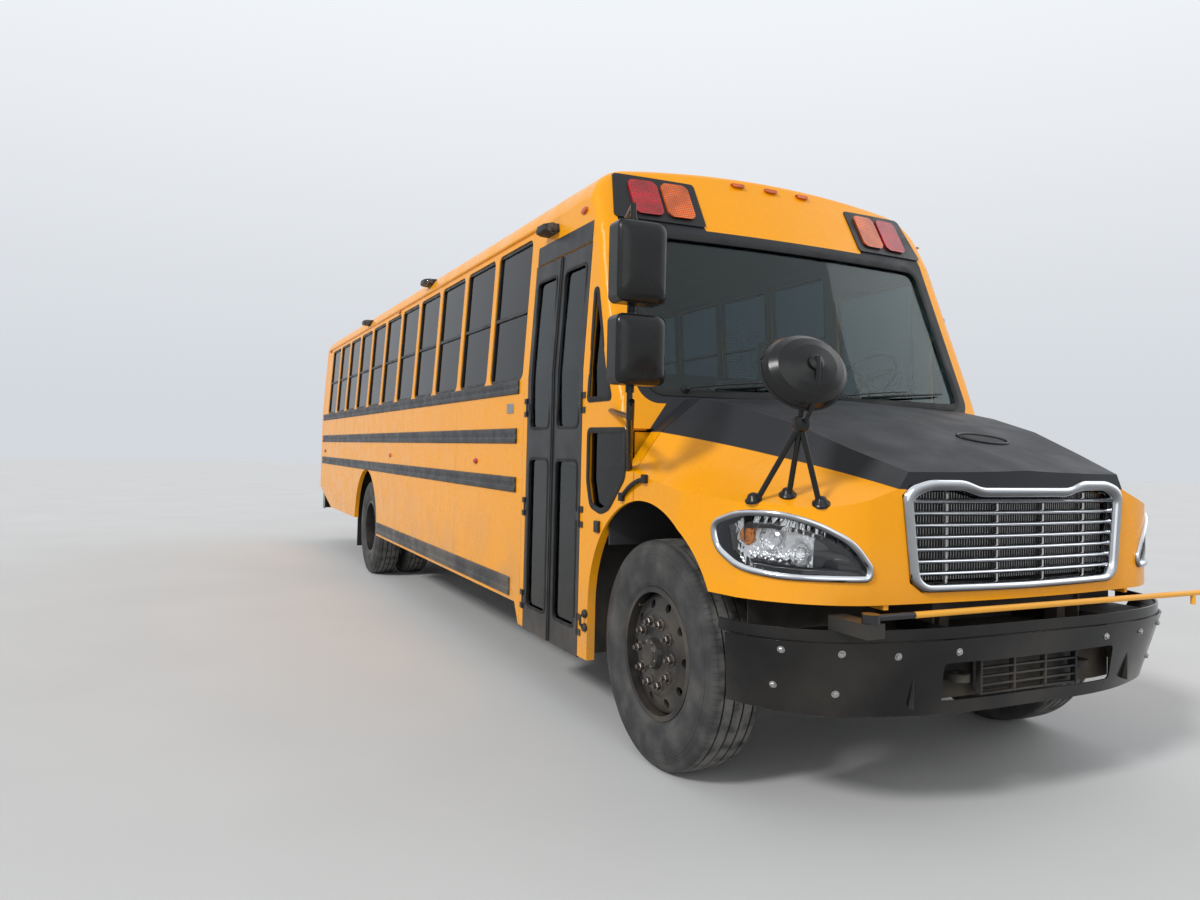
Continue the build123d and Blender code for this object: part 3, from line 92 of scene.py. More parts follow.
def wall_x(height):
    """Half width of the body's outer face at a height."""
    if height <= BELT:
        return HALF
    if height <= EAVE:
        return HALF - EAVE_INSET * (height - BELT) / (EAVE - BELT)
    return surface("roof", (3, at(6), height), (-1, 0, 0))[0].x


def surface(node, origin, direction):
    """Where a ray meets a CAD node, with the face's normal there, or None."""
    found, place, normal, _ = nodes[node].ray_cast(Vector(origin), Vector(direction).normalized())
    return (place, normal) if found else None


def screen_point(x, height, lift=0.0):
    """A point on the windscreen's swept, leaning face, lifted off it by a distance."""
    lean = SCREEN_SLOPE * (height - SCREEN_BASE_HEIGHT)
    y = at(SCREEN_BASE_STATION + lean) + x * x / (2 * SCREEN_RADIUS)
    normal = Vector((x / SCREEN_RADIUS, -1, SCREEN_SLOPE)).normalized()
    return Vector((x, y, height)) + normal * lift


# Mesh helpers


def box(bm, low, high):
    """A box between two corners."""
    xs, ys, zs = [sorted(pair) for pair in zip(low, high)]
    verts = [bm.verts.new((x, y, z)) for x in xs for y in ys for z in zs]
    for face in ((0, 1, 3, 2), (4, 6, 7, 5), (0, 4, 5, 1), (2, 3, 7, 6), (0, 2, 6, 4), (1, 5, 7, 3)):
        bm.faces.new([verts[i] for i in face])


def bridge(bm, rings, closed=False, caps=True):
    """A skin over rings of points, each ring with the same number of points."""
    made = [[bm.verts.new(p) for p in ring] for ring in rings]
    pairs = list(zip(made, made[1:]))
    if closed:
        pairs.append((made[-1], made[0]))
    for low, high in pairs:
        for i in range(len(low)):
            j = (i + 1) % len(low)
            bm.faces.new((low[i], low[j], high[j], high[i]))
    if caps and not closed:
        bm.faces.new(list(reversed(made[0])))
        bm.faces.new(made[-1])


def frame_of(direction):
    """Two directions square to a direction and to each other."""
    along = Vector(direction).normalized()
    helper = Vector((0, 0, 1)) if abs(along.z) < 0.9 else Vector((1, 0, 0))
    first = along.cross(helper).normalized()
    return first, along.cross(first).normalized()


def ring_points(centre, direction, radius, sides, flat=1.0):
    """Points of a circle, or of an ellipse when flat isn't 1, square to a direction."""
    first, second = frame_of(direction)
    return [Vector(centre) + first * (radius * cos(2 * pi * i / sides))
            + second * (radius * flat * sin(2 * pi * i / sides)) for i in range(sides)]


def tube(bm, path, radius, sides=12, closed=False, flat=1.0):
    """A round bar along a path of points."""
    path = [Vector(p) for p in path]
    count = len(path)
    rings = []
    for i, point in enumerate(path):
        before = path[(i - 1) % count] if closed or i else point
        after = path[(i + 1) % count] if closed or i < count - 1 else point
        rings.append(ring_points(point, after - before, radius, sides, flat))
    bridge(bm, rings, closed)


def lathe(bm, profile, centre, axis, segments=48, closed=False):
    """A (distance along the axis, radius) profile turned about an axis through a centre."""
    along = Vector(axis).normalized()
    rings = [ring_points(Vector(centre) + along * d, along, max(r, 0.0002), segments)
             for d, r in profile]
    bridge(bm, rings, closed)


def hex_bolt(bm, place, normal, radius, height):
    """A hexagonal bolt head on its washer."""
    out = Vector(normal).normalized()
    place = Vector(place)
    lathe(bm, [(-0.001, radius * 1.35), (height * 0.18, radius * 1.35), (height * 0.22, radius * 1.2)],
          place, out, 20)
    rings = [ring_points(place + out * d, out, r, 6) for d, r in
             ((height * 0.2, radius), (height * 0.85, radius), (height, radius * 0.82))]
    bridge(bm, rings)


def rivet(bm, place, normal, radius):
    """A low round rivet head."""
    lathe(bm, [(-0.0005, radius), (radius * 0.3, radius * 0.86), (radius * 0.5, radius * 0.4)],
          place, normal, 8)


def rounded(points, radius, steps=4):
    """A closed outline of 2-D points with its corners rounded."""
    result = []
    for i, corner in enumerate(points):
        corner = Vector(corner)
        before = Vector(points[i - 1]) - corner
        after = Vector(points[(i + 1) % len(points)]) - corner
        reach = min(radius, before.length * 0.45, after.length * 0.45)
        start = corner + before.normalized() * reach
        end = corner + after.normalized() * reach
        for step in range(steps + 1):
            t = step / steps
            result.append(start * (1 - t) ** 2 + corner * 2 * t * (1 - t) + end * t * t)
    return result


def grown(outline, amount):
    """A closed 2-D outline moved outwards, away from its middle side by side."""
    count = len(outline)
    area = sum(outline[i - 1].x * outline[i].y - outline[i].x * outline[i - 1].y
               for i in range(count))
    turn = 1 if area > 0 else -1
    moved = []
    for i in range(count):
        side = (outline[(i + 1) % count] - outline[i - 1]).normalized()
        moved.append(outline[i] + Vector((side.y, -side.x)) * turn * amount)
    return moved


def seal_ring(bm, outline, place, inner, outer, thick):
    """A flat rubber ring round an outline. place(point, lift) puts a 2-D point on the surface."""
    wide = grown(outline, outer)
    narrow = grown(outline, -inner)
    rings = []
    for a, b in zip(wide, narrow):
        rings.append([place(a, -0.002), place(a, thick * 0.7), place((a * 3 + b) / 4, thick),
                      place((a + b * 3) / 4, thick), place(b, thick * 0.6), place(b, -0.002)])
    bridge(bm, rings, closed=True)


def finish_mesh(name, bm, body, material, bevel=0.0, smooth=35, centre=None):
    """Turn a bmesh into a piece that rides on a body. centre moves its origin there."""
    bmesh.ops.remove_doubles(bm, verts=bm.verts, dist=1e-6)
    bmesh.ops.recalc_face_normals(bm, faces=bm.faces)
    mesh = bpy.data.meshes.new(name)
    if centre is not None:
        bmesh.ops.translate(bm, verts=bm.verts, vec=-Vector(centre))
    bm.to_mesh(mesh)
    bm.free()
    mesh.polygons.foreach_set("use_smooth", [True] * len(mesh.polygons))
    mesh.set_sharp_from_angle(angle=radians(smooth))
    piece = bpy.data.objects.new(name, mesh)
    bpy.context.scene.collection.objects.link(piece)
    if centre is not None:
        piece.location = centre
    mesh.materials.append(material)
    if bevel:
        modifier = piece.modifiers.new("edges", "BEVEL")
        modifier.width = bevel
        modifier.segments = 2
        modifier.limit_method = "ANGLE"
        modifier.angle_limit = radians(40)
    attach(piece, body)
    return piece


# Material helpers


class Look:
    """One material's node tree, with short calls for what the looks need."""

    def __init__(self, name, base, roughness, **settings):
        self.material = bpy.data.materials.new(name)
        self.material.use_nodes = True
        self.tree = self.material.node_tree
        self.shader = self.tree.nodes["Principled BSDF"]
        coordinates = self.tree.nodes.new("ShaderNodeTexCoord")
        self.place = coordinates.outputs["Object"]
        self.facing = coordinates.outputs["Normal"]
        self.normal = None
        self.give("Base Color", base)
        self.give("Roughness", roughness)
        for key, value in settings.items():
            self.give(key.replace("_", " ").title().replace("Ior", "IOR"), value)

    def plug(self, socket, value):
        """Set a socket to a number or colour, or link another node's output to it."""
        if isinstance(value, bpy.types.NodeSocket):
            self.tree.links.new(value, socket)
        elif isinstance(value, (tuple, list)) and len(value) == 3 and socket.type == "RGBA":
            socket.default_value = (*value, 1)
        else:
            socket.default_value = value

    def give(self, name, value):
        """Set one of the shader's own sockets."""
        self.plug(self.shader.inputs[name], value)

    def node(self, kind, inputs=(), **settings):
        """A new node with settings and inputs."""
        made = self.tree.nodes.new(kind)
        for key, value in settings.items():
            setattr(made, key, value)
        for key, value in inputs:
            self.plug(made.inputs[key], value)
        return made

    def math(self, operation, *values):
        """The result of a math node."""
        return self.node("ShaderNodeMath", list(enumerate(values)), operation=operation).outputs[0]

    def axis(self, name, normal=False):
        """One coordinate of the place, or of the surface's normal."""
        split = self.node("ShaderNodeSeparateXYZ", [(0, self.facing if normal else self.place)])
        return split.outputs[name]

    def noise(self, scale, detail=3.0, stretch=None):
        """Soft noise from 0 to 1."""
        where = self.place
        if stretch:
            where = self.node("ShaderNodeMapping", [("Vector", where), ("Scale", stretch)]).outputs[0]
        made = self.node("ShaderNodeTexNoise", [("Vector", where), ("Scale", scale),
                                                ("Detail", detail)])
        return made.outputs["Fac"]

    def ramp(self, value, low, high, to=(0.0, 1.0)):
        """A smooth rise from to[0] at low to to[1] at high."""
        made = self.node("ShaderNodeMapRange", [(0, value), (1, low), (2, high), (3, to[0]),
                                                (4, to[1])], interpolation_type="SMOOTHSTEP")
        return made.outputs[0]

    def mixed(self, factor, first, second):
        """Two colours mixed."""
        made = self.node("ShaderNodeMix", data_type="RGBA")
        for index, value in ((0, factor), (6, first), (7, second)):
            self.plug(made.inputs[index], value)
        return made.outputs[2]

    def bump(self, height, distance, strength=1.0):
        """Add relief to the surface."""
        made = self.node("ShaderNodeBump", [("Height", height), ("Distance", distance),
                                            ("Strength", strength)])
        if self.normal is not None:
            self.tree.links.new(self.normal, made.inputs["Normal"])
        self.normal = made.outputs[0]
        self.give("Normal", self.normal)

    def dusty(self, colour, strength, top, bottom, dust=(0.30, 0.25, 0.19)):
        """A colour under road dust that thickens from the height top down to bottom."""
        height = self.ramp(self.axis("Z"), top, bottom)
        spots = self.ramp(self.noise(2.6, 6), 0.3, 0.75)
        amount = self.math("MULTIPLY", self.math("MULTIPLY", height, spots), strength)
        return self.mixed(amount, colour, dust)

    def rough(self, low, high, scale=6.0, detail=4.0):
        """Roughness that varies softly over the surface."""
        self.give("Roughness", self.ramp(self.noise(scale, detail), 0.25, 0.75, (low, high)))

    def groove(self, value, spacing, width, offset=0.0):
        """1 in narrow lines that repeat along a coordinate, 0 between them."""
        shifted = self.math("ADD", value, offset)
        phase = self.math("PINGPONG", shifted, spacing / 2)
        return self.ramp(phase, width, width * 0.5)


YELLOW = (0.90, 0.352, 0.0015)
BLACK = (0.010, 0.010, 0.011)
LINING = (0.20, 0.21, 0.20)


def toned(look, colour, spread=0.05, scale=0.8):
    """A colour that drifts a little over the surface."""
    dark = tuple(c * (1 - spread) for c in colour)
    light = tuple(min(1, c * (1 + spread)) for c in colour)
    return look.mixed(look.noise(scale, 2), dark, light)


def painted(name, colour=YELLOW, lined=None, black=None, seams=None, gloss=0.24):
    """Sheet metal under paint. lined weighs the axes that tell inside from outside, black(look)
    gives the black part of a two-tone panel and seams(look) its joints."""
    look = Look(name, colour, gloss, specular_ior_level=0.28)
    tone = look.dusty(toned(look, colour), 0.34, 1.25, 0.40)
    wave = look.noise(1.7, 2, (1, 0.45, 1))
    look.bump(wave, 0.012, 0.35)
    look.bump(look.noise(420, 1), 0.0004, 0.25)
    rough = look.ramp(look.noise(5, 5), 0.2, 0.8, (gloss * 0.75, gloss * 1.5))
    if seams:
        joint = seams(look)
        tone = look.mixed(joint, tone, tuple(c * 0.45 for c in colour))
        look.bump(look.math("SUBTRACT", 1, joint), 0.002, 0.6)
    if black:
        dark = black(look)
        tone = look.mixed(dark, tone, toned(look, (0.016, 0.017, 0.020), 0.2, 3))
        rough = look.math("ADD", rough, look.math("MULTIPLY", dark, 0.22))
    if lined:
        outward = None
        for name_of_axis, weight, middle in lined:
            offset = look.math("SUBTRACT", look.axis(name_of_axis), middle)
            part = look.math("MULTIPLY", look.math("MULTIPLY", offset, weight),
                             look.axis(name_of_axis, normal=True))
            outward = part if outward is None else look.math("ADD", outward, part)
        inside = look.ramp(outward, -0.05, -0.12)
        tone = look.mixed(inside, tone, LINING)
        rough = look.math("ADD", rough, look.math("MULTIPLY", inside, 0.3))
    look.give("Base Color", tone)
    look.give("Roughness", rough)
    return look.material


def wall_seams(look):
    """Upright joints of the side sheets below the belt."""
    lines = look.groove(look.axis("Y"), 2 * WINDOW_PITCH, 0.0022, -at(FIRST_POST) + 20 * WINDOW_PITCH)
    return look.math("MULTIPLY", lines, look.ramp(look.axis("Z"), 1.80, 1.77))


def roof_seams(look):
    """Joints of the roof sheets, one every other window."""
    return look.groove(look.axis("Y"), 2 * WINDOW_PITCH, 0.0025, -at(FIRST_POST) + 20 * WINDOW_PITCH)


def hood_black(look):
    """The hood's black top, above a line that climbs and bows from the nose to the cowl."""
    along = look.math("SUBTRACT", look.axis("Y"), at(0.060))
    share = look.math("DIVIDE", along, 1.116)
    bow = look.math("MULTIPLY", look.math("MULTIPLY", share, look.math("SUBTRACT", 1, share)), 0.060)
    line = look.math("ADD", look.math("MULTIPLY_ADD", share, 0.218, 1.306), bow)
    line = look.math("MAXIMUM", line, 1.306)
    return look.ramp(look.math("SUBTRACT", look.axis("Z"), line), -0.0015, 0.0015)


def rounded_corner(look, x, z, half_width, foot, radius):
    """1 inside an upright shape with round lower corners, given |x| and z."""
    straight = look.math("SUBTRACT", half_width, radius)
    over = look.math("MAXIMUM", look.math("SUBTRACT", x, straight), 0.0)
    under = look.math("MAXIMUM", look.math("SUBTRACT", foot + radius, z), 0.0)
    reach = look.math("SQRT", look.math("ADD", look.math("MULTIPLY", over, over),
                                        look.math("MULTIPLY", under, under)))
    return look.ramp(reach, radius + 0.0015, radius - 0.0015)


def cap_black(look):
    """Black round the windscreen and on the cowl's top, with the yellow notch between them."""
    x = look.math("ABSOLUTE", look.axis("X"))
    z = look.axis("Z")
    half_width = look.math("MULTIPLY_ADD", look.math("SUBTRACT", z, 1.72), -0.055, 1.118)
    around = rounded_corner(look, x, z, half_width, 1.668, 0.115)
    forward = look.ramp(look.axis("Y", normal=True), -0.22, -0.3)
    around = look.math("MULTIPLY", around, forward)
    top_line = look.ramp(x, 0.545, 0.57, (2.652, 2.72))
    below = look.ramp(look.math("SUBTRACT", z, top_line), 0.0015, -0.0015)
    around = look.math("MULTIPLY", around, below)
    cowl_edge = look.math("MULTIPLY_ADD", look.math("SUBTRACT", z, 1.524), -0.85, 1.095)
    cowl = look.ramp(look.math("SUBTRACT", x, cowl_edge), 0.0015, -0.0015)
    cowl = look.math("MULTIPLY", cowl, look.ramp(z, 1.5225, 1.5255))
    cowl = look.math("MULTIPLY", cowl, look.ramp(z, 1.80, 1.75))
    low_front = look.ramp(look.axis("Y"), at(1.50), at(1.48))
    cowl = look.math("MULTIPLY", cowl, low_front)
    return look.math("MAXIMUM", around, cowl)


def plain(name, base, low, high, scale=8.0, spread=0.12, dust=0.0, relief=None, **settings):
    """A material with drifting tone, varying roughness, some dust and a fine relief."""
    if "metallic" not in settings:
        settings.setdefault("specular_ior_level", 0.3)
    look = Look(name, base, low, **settings)
    tone = toned(look, base, spread, scale * 0.6)
    if dust:
        tone = look.dusty(tone, dust, 1.3, 0.3)
    look.give("Base Color", tone)
    look.rough(low, high, scale)
    if relief:
        grain, distance = relief
        look.bump(look.noise(grain, 3), distance, 0.5)
    return look.material


def glass(name, tint, strength=1.45, roughness=0.0):
    """Clear or tinted glass with faint smears."""
    look = Look(name, tint, roughness, transmission_weight=1.0, ior=strength)
    look.give("Base Color", toned(look, tint, 0.08, 0.7))
    return look.material


def lens(name, colour, rib):
    """Moulded lamp lens with fine upright prisms behind a smooth face."""
    look = Look(name, colour, 0.16, specular_ior_level=0.4, coat_weight=0.25, coat_roughness=0.03)
    across = look.groove(look.axis("X"), rib, rib * 0.18)
    down = look.groove(look.axis("Z"), rib, rib * 0.18)
    lines = look.math("MAXIMUM", across, down)
    glow = look.ramp(look.noise(9, 2), 0.3, 0.7)
    bright = look.mixed(glow, tuple(c * 0.6 for c in colour), tuple(min(1, c * 1.25) for c in colour))
    look.give("Base Color", look.mixed(lines, bright, tuple(c * 0.35 for c in colour)))
    look.bump(look.math("SUBTRACT", 1, lines), 0.0015, 0.4)
    return look.material


def tyre_rubber():
    """Rubber with fine moulding rings, tread sipes and pale scuffs, about a wheel's own centre."""
    look = Look("tyre_rubber", (0.035, 0.035, 0.036), 0.7)
    y = look.axis("Y")
    z = look.axis("Z")
    radius = look.math("SQRT", look.math("ADD", look.math("MULTIPLY", y, y),
                                         look.math("MULTIPLY", z, z)))
    angle = look.math("ARCTAN2", z, y)
    tread = look.ramp(radius, 0.488, 0.502)
    sipes = look.math("MULTIPLY", look.groove(angle, 2 * pi / 120, 0.0045, 20.0), tread)
    rings = look.math("MULTIPLY", look.groove(radius, 0.011, 0.0014),
                      look.ramp(radius, 0.42, 0.43))
    rings = look.math("MULTIPLY", rings, look.ramp(radius, 0.485, 0.475))
    ribs = look.math("MULTIPLY", look.groove(angle, 2 * pi / 220, 0.003, 20.0),
                     look.math("MULTIPLY", look.ramp(radius, 0.325, 0.33),
                               look.ramp(radius, 0.352, 0.345)))
    marks = look.math("MAXIMUM", look.math("MAXIMUM", sipes, rings), ribs)
    look.bump(look.math("SUBTRACT", 1, marks), 0.002, 0.7)
    look.bump(look.noise(160, 3), 0.0006, 0.4)
    tone = look.mixed(look.ramp(look.noise(7, 5), 0.35, 0.75), (0.026, 0.026, 0.027),
                      (0.075, 0.072, 0.067))
    tone = look.mixed(look.math("MULTIPLY", marks, 0.6), tone, (0.012, 0.012, 0.012))
    patches = look.ramp(look.noise(14, 4), 0.3, 0.6)
    worn = look.math("MULTIPLY", look.ramp(radius, 0.508, 0.513), patches)
    look.give("Base Color", look.mixed(worn, tone, (0.13, 0.125, 0.115)))
    look.rough(0.6, 0.85, 9)
    return look.material


def sign_face():
    """The stop blade: plain red with a white edge."""
    look = Look("sign_red", (0.55, 0.012, 0.012), 0.3)
    y = look.math("ABSOLUTE", look.math("SUBTRACT", look.axis("Y"), at(2.985)))
    z = look.math("ABSOLUTE", look.math("SUBTRACT", look.axis("Z"), 1.355))
    slant = look.math("MULTIPLY", look.math("ADD", y, z), sqrt(0.5))
    reach = look.math("MAXIMUM", look.math("MAXIMUM", y, z), slant)
    edge = look.ramp(reach, 0.209, 0.2105)
    near = look.ramp(look.axis("Y"), at(2.758), at(2.761))
    edge = look.math("MULTIPLY", edge, near)
    red = toned(look, (0.55, 0.012, 0.012), 0.06, 2)
    face = look.mixed(edge, red, (0.80, 0.80, 0.78))
    look.give("Base Color", look.mixed(near, BLACK, face))
    cells = look.node("ShaderNodeTexVoronoi", [("Vector", look.place), ("Scale", 260)])
    look.bump(cells.outputs["Distance"], 0.0005, 0.3)
    look.rough(0.22, 0.38)
    return look.material


def arm_paint():
    """The crossing arm: yellow plastic rod with its black root."""
    look = Look("crossing_arm", YELLOW, 0.35)
    root = look.ramp(look.axis("X"), -0.70, -0.702)
    tone = toned(look, (0.80, 0.36, 0.02), 0.08, 5)
    look.give("Base Color", look.mixed(root, tone, BLACK))
    look.bump(look.noise(60, 3), 0.0006, 0.4)
    look.rough(0.28, 0.45)
    return look.material


def plated():
    """Chrome with a painted reflection: brighter where it faces the sky, darker where it would mirror the
    ground.
    """
    look = Look("chrome", (0.8, 0.81, 0.83), 0.08, metallic=1.0)
    # Painted reflection: dark on faces turned to the ground, light on faces turned to the sky.
    painted_reflection = look.ramp(look.axis("Z", normal=True), -0.45, 0.55)
    tone = look.mixed(painted_reflection, (0.15, 0.155, 0.165), (0.76, 0.78, 0.81))
    streaks = look.ramp(look.noise(3.5, 4, (1, 1, 6)), 0.35, 0.7)
    haze = look.math("MULTIPLY", streaks, 0.35)
    look.give("Base Color", look.mixed(haze, tone, (0.42, 0.43, 0.45)))
    look.bump(look.noise(2.2, 2), 0.006, 0.3)
    look.rough(0.05, 0.14, 14)
    return look.material


def facets(name, base, scale):
    """Bright plated reflector pressed in small facets."""
    look = Look(name, base, 0.08, metallic=1.0)
    cells = look.node("ShaderNodeTexVoronoi", [("Vector", look.place), ("Scale", scale)])
    look.bump(cells.outputs["Distance"], 0.004, 0.8)
    look.rough(0.05, 0.16, 20)
    look.give("Base Color", look.mixed(look.noise(18, 3), tuple(c * 0.6 for c in base), base))
    return look.material


def woven(name, base, scale):
    """Woven cloth: threads crossing at a fine pitch, with a soft sheen."""
    look = Look(name, base, 0.85, sheen_weight=0.4, sheen_roughness=0.5)
    warp = look.groove(look.axis("X"), scale, scale * 0.2)
    weft = look.groove(look.math("ADD", look.axis("Y"), look.axis("Z")), scale, scale * 0.2)
    threads = look.math("MAXIMUM", warp, weft)
    look.give("Base Color", look.mixed(threads, toned(look, base, 0.15, 20),
                                       tuple(c * 0.5 for c in base)))
    look.bump(look.math("SUBTRACT", 1, threads), 0.001, 0.6)
    return look.material


def ribbed_floor():
    """Dark ribbed rubber flooring over a black underside."""
    look = Look("floor_rubber", (0.06, 0.06, 0.06), 0.7)
    ribs = look.groove(look.axis("X"), 0.012, 0.0025)
    top = look.ramp(look.axis("Z", normal=True), 0.5, 0.7)
    ribs = look.math("MULTIPLY", ribs, top)
    tone = look.mixed(look.ramp(look.noise(5, 5), 0.3, 0.8), (0.035, 0.036, 0.037), (0.09, 0.085, 0.08))
    look.give("Base Color", look.mixed(top, look.dusty((0.018, 0.018, 0.018), 0.5, 1.1, 0.3), tone))
    look.bump(look.math("SUBTRACT", 1, ribs), 0.0015, 0.7)
    look.rough(0.55, 0.8)
    return look.material


M = {
    "wall": painted("yellow_side", lined=(("X", 1.0, 0.0),), seams=wall_seams),
    "roof": painted("yellow_roof", lined=(("X", 1.0, 0.0), ("Z", 1.0, 2.2)), seams=roof_seams, gloss=0.26),
    "rear": painted("yellow_rear", lined=(("X", 1.0, 0.0), ("Z", 0.6, 1.9), ("Y", 0.6, 0.0))),
    "cap": painted("yellow_cap", lined=(("X", 1.0, 0.0), ("Z", 0.6, 1.9), ("Y", 0.6, at(2.2))),
                   black=cap_black),
    "hood": painted("hood_two_tone", black=hood_black),
    "arm": arm_paint(),
    "satin_black": plain("satin_black", (0.012, 0.012, 0.013), 0.3, 0.5, dust=0.2,
                         relief=(300, 0.0003)),
    "gloss_black": plain("gloss_black", (0.005, 0.005, 0.006), 0.10, 0.24, dust=0.10,
                         relief=(5, 0.002)),
    "door_black": plain("door_black", (0.020, 0.021, 0.023), 0.3, 0.45, dust=0.25,
                        relief=(380, 0.0003)),
    "rail_black": plain("rail_black", (0.022, 0.023, 0.026), 0.32, 0.5, dust=0.3,
                        relief=(220, 0.0003)),
    "chassis": plain("chassis_black", (0.016, 0.015, 0.014), 0.55, 0.8, dust=0.6,
                     relief=(60, 0.001)),
    "chrome": plated(),
    "bright_steel": plain("bright_steel", (0.42, 0.41, 0.40), 0.25, 0.45, 30, 0.2, metallic=1.0,
                          relief=(120, 0.0004)),
    "wheel": plain("wheel_paint", (0.014, 0.014, 0.015), 0.25, 0.5, dust=0.35, relief=(40, 0.0008)),
    "nut": plain("wheel_nuts", (0.16, 0.14, 0.125), 0.3, 0.55, 40, 0.3, metallic=0.9,
                 relief=(200, 0.0004)),
    "tyre": tyre_rubber(),
    "rubber": plain("rubber", (0.014, 0.014, 0.014), 0.5, 0.75, relief=(260, 0.0004)),
    "screen": glass("screen_glass", (0.52, 0.70, 0.69), 1.36),
    "tinted": glass("tinted_glass", (0.020, 0.034, 0.045), 1.30),
    "door_glass": glass("door_glass", (0.12, 0.17, 0.19), 1.32),
    "clear_lens": glass("clear_lens", (0.93, 0.94, 0.95)),
    "red": lens("red_lens", (0.52, 0.002, 0.010), 0.012),
    "amber": lens("amber_lens", (0.86, 0.135, 0.001), 0.012),
    "reflector": facets("reflector", (0.86, 0.87, 0.88), 70),
    "amber_reflector": facets("amber_reflector", (0.9, 0.28, 0.02), 90),
    "mirror_glass": plain("mirror_glass", (0.86, 0.88, 0.90), 0.01, 0.04, 3, 0.02, metallic=1.0),
    "mirror_shell": plain("mirror_shell", (0.010, 0.010, 0.010), 0.2, 0.34, relief=(500, 0.0003)),
    # Headlamp bezels and pockets: partly the housings' own black plastic, partly painted shade round the
    # chrome rims and inside the lamps.
    "lamp_body_and_shade": plain("lamp_body_and_shade", (0.012, 0.013, 0.017), 0.12, 0.22, relief=(300, 0.0002)),
    "sash": plain("sash_black", (0.012, 0.013, 0.015), 0.3, 0.5),
    "vinyl": plain("seat_vinyl", (0.035, 0.045, 0.050), 0.4, 0.6, relief=(340, 0.0008)),
    "cloth": woven("driver_cloth", (0.050, 0.052, 0.058), 0.004),
    "dash": plain("dash_plastic", (0.030, 0.031, 0.033), 0.45, 0.65, relief=(420, 0.0008)),
    "floor": ribbed_floor(),
    "tank": plain("tank_steel", (0.30, 0.30, 0.31), 0.35, 0.6, metallic=0.8, dust=0.5),
    "exhaust": plain("exhaust_steel", (0.26, 0.20, 0.16), 0.45, 0.75, metallic=0.7, dust=0.3,
                     relief=(40, 0.001)),
    "iron": plain("engine_iron", (0.05, 0.05, 0.05), 0.55, 0.8, relief=(50, 0.002)),
    "sign": sign_face(),
}

# Looks of the CAD nodes and the nodes that stay shown
NODE_LOOKS = {
    "front_cap": "cap", "hood": "hood", "grille": "chrome", "headlamps": "lamp_body_and_shade",
    "crossview_mirror": "mirror_shell", "windscreen": "screen", "right_wall": "wall",
    "left_wall": "wall", "roof": "roof", "rear_wall": "rear", "rear_door": "rear",
    "rear_door_glass": "tinted", "window_sashes": "sash", "window_glass": "tinted",
    "door_front_leaf": "door_black", "door_front_glass": "door_glass",
    "door_rear_leaf": "door_black", "door_rear_glass": "door_glass", "floor": "floor",
    "step_well": "floor",
    "firewall": "dash", "steering_wheel": "dash", "frame_rails": "chassis",
    "bumpers": "gloss_black", "crossing_arm": "arm", "stop_arm": "sign",
    "hinge_mounts": "satin_black", "axles": "chassis", "knuckle_left": "chassis",
    "knuckle_right": "chassis", "front_wheel_left": "wheel", "front_wheel_right": "wheel",
    "rear_wheels_left": "wheel", "rear_wheels_right": "wheel", "powertrain": "iron",
    "fuel_tank": "tank", "exhaust": "exhaust", "mud_flaps": "rubber", "rub_rails": "rail_black",
    "lamp_housings": "satin_black", "amber_lenses": "amber", "red_lenses": "red",
    "rear_view_mirrors": "mirror_shell",
}
for node_name, look_name in NODE_LOOKS.items():
    slots = nodes[node_name].data.materials
    slots.clear()
    slots.append(M[look_name])

# Pressed and moulded edges of the CAD nodes that show, with each one's radius
EDGE_RADII = {
    "hood": 0.010, "grille": 0.0030, "headlamps": 0.0030, "bumpers": 0.0030, "front_cap": 0.0030,
    "lamp_housings": 0.005, "rear_view_mirrors": 0.012, "door_front_leaf": 0.003,
    "door_rear_leaf": 0.003, "rub_rails": 0.003, "mud_flaps": 0.003, "stop_arm": 0.002,
    "hinge_mounts": 0.0015, "firewall": 0.012, "fuel_tank": 0.010, "red_lenses": 0.004,
    "amber_lenses": 0.004,
}
for node_name, radius in EDGE_RADII.items():
    weld = nodes[node_name].modifiers.new("weld", "WELD")
    weld.merge_threshold = 0.00002
    edges = nodes[node_name].modifiers.new("edges", "BEVEL")
    edges.width = radius
    edges.segments = 3
    edges.limit_method = "ANGLE"
    edges.angle_limit = radians(32)
    edges.use_clamp_overlap = True
    shade = nodes[node_name].modifiers.new("shade", "WEIGHTED_NORMAL")
    shade.keep_sharp = False


# Tyres: ribbed tread and moulded sidewalls turned about each wheel's centre
TREAD_GROOVES = (-0.0735, -0.0245, 0.0245, 0.0735)
GROOVE_HALF = 0.0050
GROOVE_DEPTH = 0.013
TYRE_RADIUS = 0.5148
SIDEWALL = [(0.1040, 0.2875), (0.1075, 0.2960), (0.1170, 0.3045), (0.1262, 0.3170), (0.1285, 0.3200),
            (0.1325, 0.3400), (0.1360, 0.3570), (0.1382, 0.3740), (0.1392, 0.3920), (0.1388, 0.4110),
            (0.1370, 0.4320), (0.1345, 0.4500), (0.1330, 0.4512), (0.1300, 0.4680), (0.1285, 0.4700),
            (0.1262, 0.4830), (0.1225, 0.4925), (0.1165, 0.5010), (0.1090, 0.5072), (0.0990, 0.5106)]


def tread_radius(x):
    """Radius of the tread's gentle crown."""
    return TYRE_RADIUS - 0.0038 * (x / 0.1) ** 2


def tyre_profile():
    """The closed outline of a tyre as (across, radius)."""
    tread = []
    for groove in TREAD_GROOVES:
        edge = tread_radius(groove)
        tread += [(groove - GROOVE_HALF, edge), (groove - GROOVE_HALF * 0.6, edge - GROOVE_DEPTH),
                  (groove + GROOVE_HALF * 0.6, edge - GROOVE_DEPTH), (groove + GROOVE_HALF, edge)]
        if groove < 0.07:
            middle = groove + 0.0245
            tread.append((middle, tread_radius(middle)))
    left = [(-x, radius) for x, radius in SIDEWALL]
    return left + tread + list(reversed(SIDEWALL))


